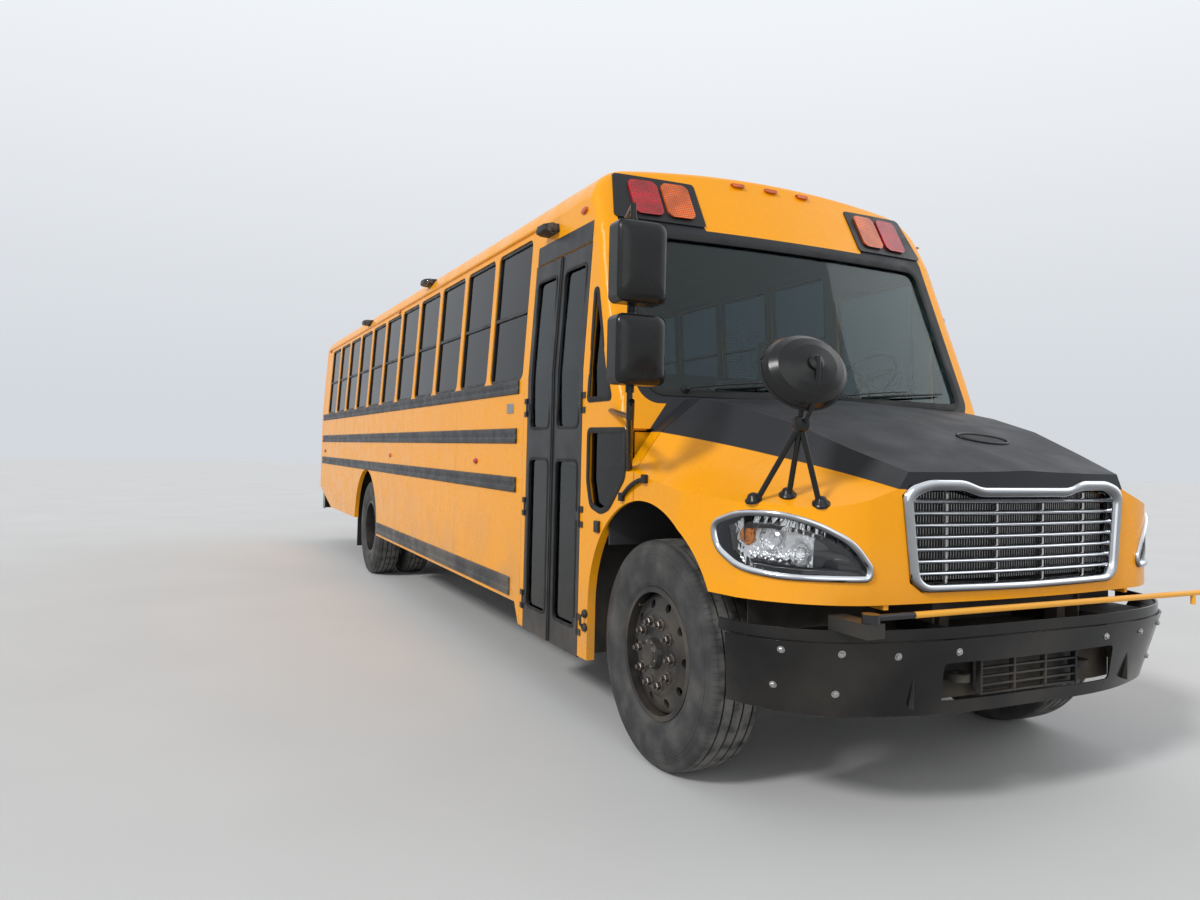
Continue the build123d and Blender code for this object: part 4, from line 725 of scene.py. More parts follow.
def tyre(name, side, offset, station, body, node):
    """One tyre about its own centre, standing for its CAD solid."""
    centre = Vector((side * (WHEEL_OUT - offset), at(station), AXLE_HEIGHT))
    bm = bmesh.new()
    lathe(bm, tyre_profile(), centre, (1, 0, 0), 112, closed=True)
    piece = finish_mesh(name, bm, body, M["tyre"], smooth=40, centre=centre)
    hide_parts(node)
    return piece


def wheel_nuts(name, side, station, body, nut_face, hub_face, hub_ring, hub_bolts):
    """The nuts and studs of a wheel and the bolts of its hub."""
    bm = bmesh.new()
    out = Vector((side, 0, 0))
    centre = Vector((side * WHEEL_OUT, at(station), AXLE_HEIGHT))
    for i in range(10):
        angle = 2 * pi * i / 10
        spoke = Vector((0, cos(angle), sin(angle)))
        place = centre + out * nut_face + spoke * 0.143
        hex_bolt(bm, place, out, 0.0195, 0.027)
        tube(bm, [place + out * 0.02, place + out * 0.040], 0.0105, 10)
    for i in range(hub_bolts):
        angle = 2 * pi * (i + 0.5) / hub_bolts
        spoke = Vector((0, cos(angle), sin(angle)))
        hex_bolt(bm, centre + out * hub_face + spoke * hub_ring, out, 0.0075, 0.009)
    stem = centre + Vector((0, 0.150, 0.195))
    tube(bm, [stem + out * (nut_face - 0.055), stem + out * (nut_face + 0.010)], 0.0045, 8)
    finish_mesh(name, bm, body, M["nut"], smooth=30)


for side, name in ((-1, "right"), (1, "left")):
    front_body = f"wheel_front_{name}"
    rear_body = f"wheels_rear_{name}"
    tyre(f"tyre_front_{name}", side, 0, FRONT_AXLE, front_body, f"front_tyre_{name}")
    tyre(f"tyre_rear_outer_{name}", side, 0, REAR_AXLE, rear_body, f"rear_tyres_{name}")
    tyre(f"tyre_rear_inner_{name}", side, DUAL_SPACING, REAR_AXLE, rear_body, f"rear_tyres_{name}")
    wheel_nuts(f"nuts_front_{name}", side, FRONT_AXLE, front_body, 0.1102, 0.1425, 0.056, 8)
    wheel_nuts(f"nuts_rear_{name}", side, REAR_AXLE, rear_body, -0.150, 0.008, 0.088, 8)


# Nose: grille mesh and its dark backing
NOSE_TIP = 0.034
NOSE_BOW = 0.051
NOSE_FRONT_HALF = 0.777


def nose_station(x):
    """Station of the nose's curved face in plan."""
    return NOSE_TIP + NOSE_BOW * (x / NOSE_FRONT_HALF) ** 2


GRILLE_DIP = 1.272
GRILLE_CREST = 1.296
DIP_END = 0.250
CREST_START = 0.345
CREST_END = 0.505


def grille_top(x):
    """Height of the grille opening's upper edge: low in the middle, then a crest, then falling."""
    x = abs(x)
    if x < DIP_END:
        return GRILLE_DIP
    if x < CREST_START:
        return GRILLE_DIP + 0.024 * (x - DIP_END) / 0.095
    return GRILLE_CREST if x < CREST_END else GRILLE_CREST - 0.016 * (x - CREST_END) / 0.05


GRILLE_HALF = 0.552
GRILLE_FOOT = 0.950
WIRE_PITCH = 0.0138
bm = bmesh.new()
wires = int(2 * GRILLE_HALF / WIRE_PITCH)
for i in range(wires + 1):
    x = -GRILLE_HALF + i * 2 * GRILLE_HALF / wires
    y = at(nose_station(x) + 0.046)
    box(bm, (x - 0.0013, y, 0.952), (x + 0.0013, y + 0.003, grille_top(x)))
finish_mesh("grille_mesh", bm, "hood_group", M["bright_steel"], smooth=30)
bm = bmesh.new()
rows = []
for i in range(25):
    x = -0.56 + i * 1.12 / 24
    y = at(nose_station(x) + 0.060)
    rows.append([Vector((x, y, GRILLE_FOOT)), Vector((x, y + 0.004, GRILLE_FOOT)),
                 Vector((x, y + 0.004, grille_top(x))), Vector((x, y, grille_top(x)))])
bridge(bm, rows)
finish_mesh("grille_backing", bm, "hood_group", M["dash"], smooth=30)

# Chrome over the CAD grille: a crowned surround and airfoil bars that follow the nose
GRILLE_OUTER = [(0, 1.318), (0.258, 1.318), (0.345, 1.347), (0.520, 1.347), (0.606, 1.322),
                (0.640, 1.285), (0.600, 0.950), (0.545, 0.912), (0, 0.908)]
GRILLE_INNER = [(0, 1.276), (0.250, 1.276), (0.345, 1.300), (0.510, 1.300), (0.566, 1.280),
                (0.586, 1.262), (0.553, 0.975), (0.520, 0.946), (0, 0.942)]


def mirrored_outline(half):
    """A closed symmetric outline from the points of its driver's half, with no double ends."""
    return half + [(-x, z) for x, z in reversed(half) if x > 0]


def nose_face(x, z, lift):
    """A point in front of the nose's curved face."""
    return Vector((x, at(nose_station(x)) - lift, z))


def even_outline(points, radius, count):
    """A rounded outline sampled at even shares of its length."""
    line = rounded(points, radius, 6)
    lengths = [(line[(i + 1) % len(line)] - p).length for i, p in enumerate(line)]
    total = sum(lengths)
    result = []
    for k in range(count):
        goal = total * k / count
        i = 0
        while goal > lengths[i]:
            goal -= lengths[i]
            i += 1
        result.append(line[i] + (line[(i + 1) % len(line)] - line[i]) * (goal / lengths[i]))
    return result


bm = bmesh.new()
rings = []
outer_line = even_outline(mirrored_outline(GRILLE_OUTER), 0.030, 180)
inner_line = even_outline(mirrored_outline(GRILLE_INNER), 0.024, 180)
for a, b in zip(outer_line, inner_line):
    ring = []
    for share, lift in ((0.0, -0.004), (0.0, 0.010), (0.12, 0.016), (0.35, 0.020), (0.62, 0.018),
                        (0.85, 0.010), (0.97, 0.0), (1.0, -0.020), (1.0, -0.045), (0.6, -0.045)):
        p = a + (b - a) * share
        ring.append(nose_face(p.x, p.y, lift))
    rings.append(ring)
bridge(bm, rings, closed=True)
finish_mesh("grille_surround", bm, "hood_group", M["chrome"], smooth=50)

BAR_SECTION = [(-0.004, 0.0), (0.001, 0.0065), (0.010, 0.0100), (0.022, 0.0090), (0.034, 0.0040),
               (0.036, -0.0020), (0.026, -0.0075), (0.012, -0.0110), (0.002, -0.0085)]
BAR_COUNT = 7
BAR_LOW = 0.982
BAR_HIGH = 1.262
BAR_REACH = 0.583
BAR_TAPER = 0.115
bm = bmesh.new()
for k in range(BAR_COUNT):
    z = BAR_LOW + k * (BAR_HIGH - BAR_LOW) / (BAR_COUNT - 1)
    reach = BAR_REACH - (BAR_HIGH - z) * BAR_TAPER
    rows = []
    for i in range(33):
        x = -reach + 2 * reach * i / 32
        rows.append([nose_face(x, z + up, -0.004 - back) for back, up in BAR_SECTION])
    bridge(bm, rows)
finish_mesh("grille_bars", bm, "hood_group", M["chrome"], smooth=50)
bm = bmesh.new()
for x in (-0.400, -0.134, 0.134, 0.400):
    rows = []
    for z in (0.944, grille_top(x) - 0.004):
        rows.append([nose_face(x + dx, z, -lift) for dx, lift in
                     ((-0.005, 0.040), (-0.005, 0.026), (0.0, 0.022), (0.005, 0.026), (0.005, 0.040))])
    bridge(bm, rows)
posts = finish_mesh("grille_posts", bm, "hood_group", M["bright_steel"], smooth=50)
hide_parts("grille")


# Headlamps: a thin clear lens over reflectors set in the pocket
def lens_shell():
    """The outer faces of the CAD lenses as a thin clear shell."""
    bm = bmesh.new()
    bm.from_mesh(nodes["headlamp_lenses"].data)
    bmesh.ops.remove_doubles(bm, verts=bm.verts, dist=1e-5)
    doomed = []
    for face in bm.faces:
        side = 1 if face.calc_center_median().x > 0 else -1
        if face.normal.dot(Vector((side * 0.6, -0.8, 0))) < 0.45:
            doomed.append(face)
    bmesh.ops.delete(bm, geom=doomed, context="FACES")
    shell = finish_mesh("headlamp_covers", bm, "hood_group", M["clear_lens"], smooth=50)
    thick = shell.modifiers.new("thickness", "SOLIDIFY")
    thick.thickness = 0.0025
    thick.offset = -1
    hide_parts("headlamp_lenses")


LAMP_OUTLINE = [(1.180, 1.151), (1.150, 1.204), (1.064, 1.208), (0.965, 1.176), (0.842, 1.105),
                (0.773, 1.008), (0.782, 0.967), (0.919, 0.967), (1.062, 0.967), (1.148, 0.986),
                (1.175, 1.053)]
NOSE_CORNER = (Vector((NOSE_FRONT_HALF, 0.085)), Vector((1.010, 0.206)), Vector((1.155, 0.419)))
NOSE_SIDE = Vector((1.219, 0.760))
LAMP_POCKET = 0.022


def circle_centre(a, b, c):
    """Centre of the circle through three 2-D points."""
    ab = b - a
    ac = c - a
    span = 2 * (ab.x * ac.y - ab.y * ac.x)
    x = (ac.y * ab.length_squared - ab.y * ac.length_squared) / span
    y = (ab.x * ac.length_squared - ac.x * ab.length_squared) / span
    return a + Vector((x, y))


def nose_plan():
    """Points (x, station) along the nose in plan, from its middle round to its side."""
    line = []
    for i in range(30):
        x = NOSE_FRONT_HALF * i / 30
        line.append(Vector((x, nose_station(x))))
    centre = circle_centre(*NOSE_CORNER)
    first = NOSE_CORNER[0] - centre
    last = NOSE_CORNER[2] - centre
    low = atan2(first.y, first.x)
    high = atan2(last.y, last.x)
    for i in range(41):
        angle = low + (high - low) * i / 40
        line.append(centre + Vector((cos(angle), sin(angle))) * first.length)
    return line + [NOSE_SIDE]


NOSE = nose_plan()


def nose_run(x):
    """Length along the nose from its middle to the point at x."""
    run = 0
    for a, b in zip(NOSE, NOSE[1:]):
        if x <= b.x:
            return run + (b - a).length * (x - a.x) / (b.x - a.x)
        run += (b - a).length
    return run


def nose_point(run, z, lift):
    """A point at a length along the nose, raised from its face, on the entrance side."""
    for a, b in zip(NOSE, NOSE[1:]):
        length = (b - a).length
        if run <= length:
            break
        run -= length
    along = (b - a) / length
    place = a + along * run + Vector((along.y, -along.x)) * lift
    return Vector((-place.x, at(place.y), z))


def lamp_floor(x, z):
    """The lamp pocket's floor behind a point, and the direction out of it."""
    run = nose_run(x)
    place = nose_point(run, z, -LAMP_POCKET)
    return place, (nose_point(run, z, 0) - place).normalized()


def outline_span(outline, across):
    """Lowest and highest height of a closed outline at one place across it."""
    heights = []
    for i, b in enumerate(outline):
        a = outline[i - 1]
        if (a.x - across) * (b.x - across) < 0:
            heights.append(a.y + (b.y - a.y) * (across - a.x) / (b.x - a.x))
    return min(heights), max(heights)


def mirrored_pair(bm):
    """Add the mirror image of what a bmesh holds on the other side of the bus."""
    copy = bmesh.ops.duplicate(bm, geom=bm.verts[:] + bm.edges[:] + bm.faces[:])
    verts = [g for g in copy["geom"] if isinstance(g, bmesh.types.BMVert)]
    bmesh.ops.scale(bm, vec=(-1, 1, 1), verts=verts)
    bmesh.ops.reverse_faces(bm, faces=[g for g in copy["geom"] if isinstance(g, bmesh.types.BMFace)])


lens_shell()

# The lamps' smooth plated rims
RIM_SECTION = [(0.0, -0.004), (0.0, 0.006), (0.10, 0.0115), (0.32, 0.0145), (0.58, 0.0130),
               (0.82, 0.0070), (1.0, -0.003), (1.0, -0.020), (0.6, -0.020)]
lamp_line = even_outline([(nose_run(x), z) for x, z in LAMP_OUTLINE], 0.060, 140)
bm = bmesh.new()
rings = []
for a, b in zip(grown(lamp_line, 0.011), grown(lamp_line, -0.020)):
    ring = []
    for share, lift in RIM_SECTION:
        p = a + (b - a) * share
        ring.append(nose_point(p.x, p.y, lift))
    rings.append(ring)
bridge(bm, rings, closed=True)
mirrored_pair(bm)
finish_mesh("headlamp_rims", bm, "hood_group", M["chrome"], smooth=50)

# Hollow reflector behind the outer half of each lamp
REFLECTOR_INNER = 0.975
REFLECTOR_COLUMNS = 28
REFLECTOR_ROWS = 10
inside = grown(lamp_line, -0.018)
first = nose_run(REFLECTOR_INNER)
last = max(p.x for p in inside) - 0.004
bm = bmesh.new()
rings = []
for i in range(REFLECTOR_COLUMNS + 1):
    run = first + (last - first) * i / REFLECTOR_COLUMNS
    low, high = outline_span(inside, run)
    ring = []
    for j in range(REFLECTOR_ROWS + 1):
        share = j / REFLECTOR_ROWS
        hollow = (2 * share - 1) ** 4
        ring.append(nose_point(run, low + (high - low) * share, -0.0205 + 0.012 * hollow))
    ring.append(nose_point(run, high, -0.0215))
    ring.append(nose_point(run, low, -0.0215))
    rings.append(ring)
bridge(bm, rings)
mirrored_pair(bm)
finish_mesh("lamp_reflectors", bm, "hood_group", M["reflector"], smooth=60)

# Bulb bowls with their glass domes, and the amber turn lamp
BOWLS = [(1.085, 1.108, 0.044, 0.42), (1.010, 1.058, 0.040, 1.0)]
TURN_LAMP = (1.138, 1.112, 0.034)
bowls = bmesh.new()
domes = bmesh.new()
amber = bmesh.new()
for x, z, radius, dome_share in BOWLS:
    place, normal = lamp_floor(x, z)
    lathe(bowls, [(0.001, radius * 0.25), (0.003, radius * 0.55), (0.008, radius * 0.82),
                  (0.015, radius), (0.0165, radius * 1.03), (0.0165, radius * 1.08),
                  (0.0, radius * 1.08)], place, normal, 40)
    lathe(domes, [(0.001, radius * 0.62 * dome_share), (0.006, radius * 0.58 * dome_share),
                  (0.011, radius * 0.42 * dome_share), (0.0145, radius * 0.2 * dome_share),
                  (0.0152, radius * 0.02)], place, normal, 32)
x, z, radius = TURN_LAMP
place, normal = lamp_floor(x, z)
for share in (0.0, 0.3, 0.6):
    lathe(amber, [(0.0, radius * (1 - share)), (0.010 + 0.008 * share, radius * (1 - share)),
                  (0.013 + 0.008 * share, radius * (0.85 - share)),
                  (0.013 + 0.008 * share, 0.0005)], place, normal, 32)
mirrored_pair(bowls)
mirrored_pair(domes)
mirrored_pair(amber)
finish_mesh("lamp_bowls", bowls, "hood_group", M["reflector"], smooth=60)
finish_mesh("lamp_domes", domes, "hood_group", M["clear_lens"], smooth=60)
finish_mesh("lamp_amber", amber, "hood_group", M["amber_reflector"], smooth=60)


# Hood: oval inlet and rubber latches
def hood_top(x, station):
    """A point on the hood straight under a place in plan, with its normal."""
    return surface("hood", (x, at(station), 3), (0, 0, -1))


SCOOP = (0.170, 0.405, 0.150, 0.055)
rim = bmesh.new()
inside = bmesh.new()
path = []
rings = []
for i in range(40):
    angle = 2 * pi * i / 40
    points = []
    for share in (1.0, 0.9, 0.6, 0.3):
        place, normal = hood_top(SCOOP[0] + SCOOP[2] * share * cos(angle),
                                 SCOOP[1] + SCOOP[3] * share * sin(angle))
        points.append(place + normal * (0.0025 if share < 1 else 0.003))
    path.append(points[0])
    rings.append(points[1:])
tube(rim, path, 0.006, 10, closed=True)
made = [[inside.verts.new(p) for p in ring] for ring in rings]
for i in range(40):
    j = (i + 1) % 40
    for k in range(2):
        inside.faces.new((made[i][k], made[j][k], made[j][k + 1], made[i][k + 1]))
inside.faces.new([ring[2] for ring in made])
finish_mesh("hood_inlet_rim", rim, "hood_group", M["satin_black"], smooth=60)
floor_piece = finish_mesh("hood_inlet", inside, "hood_group", M["rubber"], smooth=60)
thick = floor_piece.modifiers.new("thickness", "SOLIDIFY")
thick.thickness = 0.002

LATCH_FRONT = (1.046, 1.306)
LATCH_REAR = (1.272, 1.212)
bm = bmesh.new()
for side in SIDES:
    x = side * (HALF + 0.008)
    strap = []
    for i in range(9):
        t = i / 8
        station = LATCH_FRONT[0] + (LATCH_REAR[0] - LATCH_FRONT[0]) * t
        z = LATCH_FRONT[1] + (LATCH_REAR[1] - LATCH_FRONT[1]) * t + 0.016 * sin(pi * t)
        strap.append((x + side * 0.006 * sin(pi * t), at(station), z))
    tube(bm, strap, 0.011, 12)
    for station, z in (LATCH_FRONT, LATCH_REAR):
        box(bm, (side * (HALF + 0.0005), at(station) - 0.018, z - 0.020),
            (side * (HALF + 0.020), at(station) + 0.018, z + 0.020))
finish_mesh("hood_latches", bm, "hood_group", M["rubber"], bevel=0.003)

# Front bumper: bolts, lower grille and its surround
BUMPER_BOLTS = [(1.092, 0.707), (1.075, 0.560), (0.915, 0.703), (0.905, 0.545), (0.426, 0.694),
                (0.700, 0.690)]
bm = bmesh.new()
for x, z in BUMPER_BOLTS:
    for side in SIDES:
        found = surface("bumpers", (side * x, at(-1), z), (0, 1, 0))
        if found:
            hex_bolt(bm, found[0], found[1], 0.011, 0.010)
finish_mesh("bumper_bolts", bm, "bus", M["bright_steel"], smooth=30)
INSET_HALF = 0.275
INSET_LOW = 0.512
INSET_HIGH = 0.643
bm = bmesh.new()
for z in (INSET_LOW, 0.545, 0.578, 0.611, INSET_HIGH):
    box(bm, (-INSET_HALF, at(0.010), z - 0.004), (INSET_HALF, at(0.032), z + 0.004))
for x in (-INSET_HALF, -0.09, 0.09, INSET_HALF):
    box(bm, (x - 0.005, at(0.008), INSET_LOW - 0.004), (x + 0.005, at(0.034), INSET_HIGH + 0.004))
box(bm, (-INSET_HALF, at(0.050), INSET_LOW), (INSET_HALF, at(0.054), INSET_HIGH))
finish_mesh("bumper_grille", bm, "bus", M["satin_black"], bevel=0.002)

# Dark shields that close the nose behind the bumper
BUMPER_PLAN = [(0.0, -0.030), (0.55, -0.015), (0.83, 0.035), (0.985, 0.100), (1.15, 0.260)]


def bumper_line(x):
    """Station of the bumper's face in plan."""
    x = abs(x)
    for (x1, s1), (x2, s2) in zip(BUMPER_PLAN, BUMPER_PLAN[1:]):
        if x <= x2:
            return s1 + (s2 - s1) * (x - x1) / (x2 - x1)
    return BUMPER_PLAN[-1][1]


SHELF_LOW = 0.722
SHELF_HIGH = 0.728
SHELF_BACK = at(0.420)
WALL_FRONT = at(0.430)
WALL_BACK = at(0.436)
WALL_TOP = 0.995
WALL_NOTCH = 0.46
bm = bmesh.new()
rows = []
for i in range(33):
    x = -1.10 + 2.20 * i / 32
    front = at(bumper_line(x) + 0.035 + 0.01 * abs(x))
    rows.append([Vector((x, front, SHELF_LOW)), Vector((x, front, SHELF_HIGH)),
                 Vector((x, SHELF_BACK, SHELF_HIGH)), Vector((x, SHELF_BACK, SHELF_LOW))])
bridge(bm, rows)
for side in SIDES:
    box(bm, (side * WALL_NOTCH, WALL_FRONT, 0.56), (side * 1.085, WALL_BACK, WALL_TOP))
box(bm, (-WALL_NOTCH, WALL_FRONT, 0.70), (WALL_NOTCH, WALL_BACK, WALL_TOP))
finish_mesh("nose_shield", bm, "bus", M["chassis"], smooth=40)
BACKING_LOW = 0.486
BACKING_HIGH = 0.670
bm = bmesh.new()
rows = []
for i in range(13):
    x = -0.62 + 1.24 * i / 12
    front = at(bumper_line(x) + 0.115)
    back = front + 0.004
    rows.append([Vector((x, front, BACKING_LOW)), Vector((x, front, BACKING_HIGH)),
                 Vector((x, back, BACKING_HIGH)), Vector((x, back, BACKING_LOW))])
bridge(bm, rows)
for side in SIDES:
    box(bm, (side * 0.618, at(0.020), BACKING_LOW), (side * 0.622, at(0.110), BACKING_HIGH))
finish_mesh("bumper_backing", bm, "bus", M["chassis"], smooth=40)

# Yellow cheeks that close the cowl behind the hood's rear corners
bm = bmesh.new()
for side in SIDES:
    box(bm, (side * 0.780, at(1.296), 1.330), (side * 1.150, at(1.302), 1.5235))
finish_mesh("cowl_cheeks", bm, "bus", M["wall"], smooth=40)

# Windscreen: rubber seal and two wipers parked along its foot
SCREEN_OUTLINE = rounded([(-1.052, 1.724), (1.052, 1.724), (1.000, 2.600), (-1.000, 2.600)], 0.090, 8)
FINE_SCREEN = []
for i, point in enumerate(SCREEN_OUTLINE):
    after = SCREEN_OUTLINE[(i + 1) % len(SCREEN_OUTLINE)]
    steps = max(1, int((after - point).length / 0.10))
    FINE_SCREEN += [point + (after - point) * k / steps for k in range(steps)]
bm = bmesh.new()
seal_ring(bm, FINE_SCREEN, lambda p, lift: screen_point(p.x, p.y, lift), 0.022, 0.016, 0.007)
finish_mesh("screen_seal", bm, "bus", M["rubber"], smooth=60)


PIVOT_Z = 1.742
TIP_Z = 1.800


def wiper(pivot_x, tip_x, name):
    """A wiper lying along the foot of the windscreen."""
    bm = bmesh.new()
    reach = tip_x - pivot_x
    rise = TIP_Z - PIVOT_Z
    arm = []
    for i in range(7):
        t = i / 6
        arm.append(screen_point(pivot_x + reach * 0.62 * t, PIVOT_Z + rise * 0.9 * t,
                                0.020 + 0.012 * sin(pi * t)))
    tube(bm, arm, 0.0065, 8, flat=0.6)
    start = pivot_x + reach * 0.22
    blade = []
    rubber = []
    for i in range(13):
        t = i / 12
        x = start + (tip_x - start) * t
        z = PIVOT_Z + rise * (0.1 + 0.9 * t)
        blade.append(screen_point(x, z, 0.013 + 0.005 * sin(pi * t)))
        rubber.append(screen_point(x, z, 0.003))
    tube(bm, blade, 0.005, 8)
    tube(bm, rubber, 0.003, 6)
    lathe(bm, [(0.0, 0.024), (0.018, 0.022), (0.026, 0.012), (0.034, 0.011)],
          screen_point(pivot_x, PIVOT_Z, 0.0), (0, -1, SCREEN_SLOPE), 20)
    finish_mesh(name, bm, "bus", M["satin_black"], smooth=45)


wiper(-0.86, -0.08, "wiper_right")
wiper(0.06, 0.90, "wiper_left")


# Rubber round the fixed side windows, and the driver's window
def side_place(side):
    """A function that puts a (station, height) point on one side wall."""
    def place(point, lift):
        return Vector((side * (wall_x(point.y) + lift), at(point.x), point.y))
    return place


QUARTER = [(1.430, 1.690), (1.693, 1.690), (1.686, 2.270), (1.653, 2.270)]
VISION = [(1.264, 1.531), (1.682, 1.535), (1.681, 1.276), (1.637, 1.149), (1.518, 1.122),
          (1.428, 1.148), (1.264, 1.307)]
DRIVER = [(1.830, 1.790), (2.560, 1.790), (2.560, 2.570), (1.830, 2.570)]
bm = bmesh.new()
for side in SIDES:
    for outline, radius in ((QUARTER, 0.02), (VISION, 0.03), (DRIVER, 0.075)):
        if outline is DRIVER and side < 0:
            continue
        seal_ring(bm, rounded(outline, radius, 5), side_place(side), 0.016, 0.013, 0.005)
finish_mesh("window_seals", bm, "bus", M["rubber"], smooth=60)

# Drip rails over the windows, rivets along the rub rails and the sheets' foot
DRIP_SECTION = [(0.0, 0.0), (0.013, 0.004), (0.016, 0.013), (0.014, 0.013), (0.011, 0.007),
                (0.0, 0.016)]
bm = bmesh.new()
for side in SIDES:
    start = 2.60 if side < 0 else 1.80
    rows = []
    for i in range(41):
        station = start + (REAR_CAP - start) * i / 40
        x = wall_x(EAVE) + 0.0005
        rows.append([Vector((side * (x + out), at(station), EAVE - 0.016 + up))
                     for out, up in DRIP_SECTION])
    bridge(bm, rows)
finish_mesh("drip_rails", bm, "bus", M["wall"], smooth=40)

RAIL_ROWS = [(1.816, 2.76, REAR_CAP), (1.509, 2.78, REAR_CAP), (1.202, 2.78, REAR_CAP),
             (0.560, 2.85, 6.95)]
RIVET_PITCH = 0.1206
bm = bmesh.new()
for side in SIDES:
    for height, start, stop in RAIL_ROWS:
        count = int((stop - start) / RIVET_PITCH)
        for i in range(count):
            station = start + 0.05 + i * RIVET_PITCH
            if height < 1.25 and abs(station - REAR_AXLE) < 0.69:
                continue
            rivet(bm, (side * (HALF + 0.0072), at(station), height), (side, 0, 0), 0.0055)
finish_mesh("rail_rivets", bm, "bus", M["rail_black"], smooth=60)
bm = bmesh.new()
for side in SIDES:
    for height in (1.735, 1.130, 0.700):
        count = int((REAR_CAP - 2.80) / RIVET_PITCH)
        for i in range(count):
            station = 2.84 + i * RIVET_PITCH
            if height < 1.2 and abs(station - REAR_AXLE) < 0.68:
                continue
            if height < 0.9 and station > 10.0:
                continue
            rivet(bm, (side * HALF, at(station), height), (side, 0, 0), 0.004)
finish_mesh("sheet_rivets", bm, "bus", M["wall"], smooth=60)


# Lamps and small fittings of the sides
def side_box(bm, side, station, height, length, tall, out):
    """A box on the side wall, centred on a station and height."""
    x = wall_x(height)
    box(bm, (side * (x - 0.002), at(station) - length / 2, height - tall / 2),
        (side * (x + out), at(station) + length / 2, height + tall / 2))


def pod(bm, glow, side, station, height):
    """A lamp pod on the roof's edge: a wedge housing open to the front and below."""
    node = "roof" if height > EAVE else "right_wall"
    place, _ = surface(node, (side * 3, at(station), height), (-side, 0, 0))
    x = abs(place.x)
    profile = [(-0.095, -0.028), (-0.070, 0.030), (0.060, 0.034), (0.100, 0.004), (0.095, -0.028)]
    rows = []
    for out, share in ((-0.03, 1.0), (0.055, 0.92), (0.090, 0.7)):
        rows.append([Vector((side * (x + out), at(station) + y * share, height + 0.01 + z * share))
                     for y, z in profile])
    bridge(bm, rows)
    face = Vector((side * (x + 0.045), at(station) - 0.085, height + 0.006))
    lathe(glow, [(0.0, 0.030), (0.010, 0.028), (0.014, 0.018), (0.016, 0.002)], face,
          (0, -1, -0.15), 24)


PODS = [(2.345, 2.715), (5.340, 2.890), (8.020, 2.850)]
housings = bmesh.new()
faces = bmesh.new()
for side in SIDES:
    for station, height in PODS:
        if side > 0 and height < EAVE:
            continue
        pod(housings, faces, side, station, height)
finish_mesh("roof_pods", housings, "bus", M["satin_black"], bevel=0.006)
finish_mesh("pod_lamps", faces, "bus", M["clear_lens"], smooth=60)


def marker(bm, side, station, height, length, tall, out=0.016):
    """A small oval marker lamp on the side."""
    x = wall_x(height)
    rows = []
    for share, lift in ((1.0, -0.002), (1.0, out * 0.4), (0.86, out * 0.8), (0.5, out), (0.05, out)):
        rows.append([Vector((side * (x + lift), at(station) + length / 2 * share * cos(a),
                             height + tall / 2 * share * sin(a)))
                     for a in [2 * pi * i / 20 for i in range(20)]])
    bridge(bm, rows)


# Station, height above the ground, length and own height of each lamp
MARKERS = {"amber": [(1.905, 2.742, 0.080, 0.040), (6.390, 2.770, 0.080, 0.034),
                     (6.40, 1.335, 0.075, 0.040)],
           "red": [(10.780, 2.770, 0.080, 0.034), (3.587, 1.335, 0.075, 0.040),
                   (10.700, 1.335, 0.075, 0.040)]}
for colour, lamps in MARKERS.items():
    bm = bmesh.new()
    for side in SIDES:
        for lamp in lamps:
            marker(bm, side, *lamp)
    finish_mesh(f"side_markers_{colour}", bm, "bus", M[colour], smooth=60)

bm = bmesh.new()
for side in SIDES:
    box(bm, (side * (HALF - 0.002), at(1.518), 1.018), (side * (HALF + 0.014), at(1.572), 1.076))
    if side < 0:
        for station, z in ((1.668, 0.590), (1.668, 0.520)):
            lathe(bm, [(-0.002, 0.022), (0.012, 0.022), (0.018, 0.016), (0.020, 0.003)],
                  (side * HALF, at(station), z), (side, 0, 0), 20)
        tube(bm, [(side * (HALF + 0.014), at(1.668), 0.600), (side * (HALF + 0.030), at(1.672), 0.570),
                  (side * (HALF + 0.030), at(1.668), 0.540), (side * (HALF + 0.014), at(1.664), 0.515)],
             0.007, 10)
finish_mesh("post_fittings", bm, "bus", M["satin_black"], bevel=0.004)
bm = bmesh.new()
for side in SIDES:
    side_box(bm, side, 2.885, 1.686, 0.115, 0.062, 0.006)
    for i in range(5):
        side_box(bm, side, 2.885, 1.664 + i * 0.011, 0.100, 0.004, 0.012)
finish_mesh("side_vents", bm, "bus", M["bright_steel"], bevel=0.0015)

# Entrance door: seals where the leaves meet and round their panes
LEAF_MEETING = {"front": 2.1635, "rear": 2.1855}
for name, station in LEAF_MEETING.items():
    bm = bmesh.new()
    rows = []
    for z in (0.352, 1.0, BELT, 2.2, 2.532):
        x = -wall_x(z)
        near = at(station) - 0.006
        rows.append([Vector((x - 0.006, near, z)), Vector((x - 0.006, near + 0.012, z)),
                     Vector((x + 0.020, near + 0.012, z)), Vector((x + 0.020, near, z))])
    bridge(bm, rows)
    finish_mesh(f"door_seal_{name}", bm, f"door_{name}", M["rubber"], smooth=40)
LEAF_PANES = [(0.492, 1.372), (1.553, 2.438)]
LEAF_STARTS = {"front": 1.772, "rear": 2.1855}
LEAF_WIDTH = 0.3915
LEAF_STILE = 0.048
for name, start in LEAF_STARTS.items():
    bm = bmesh.new()
    for low, high in LEAF_PANES:
        near = start + LEAF_STILE
        far = start + LEAF_WIDTH - LEAF_STILE
        outline = rounded([(near, low), (far, low), (far, high), (near, high)], 0.045, 4)
        seal_ring(bm, outline, side_place(-1), 0.008, 0.010, 0.0035)
    finish_mesh(f"door_rubbers_{name}", bm, f"door_{name}", M["rubber"], smooth=60)

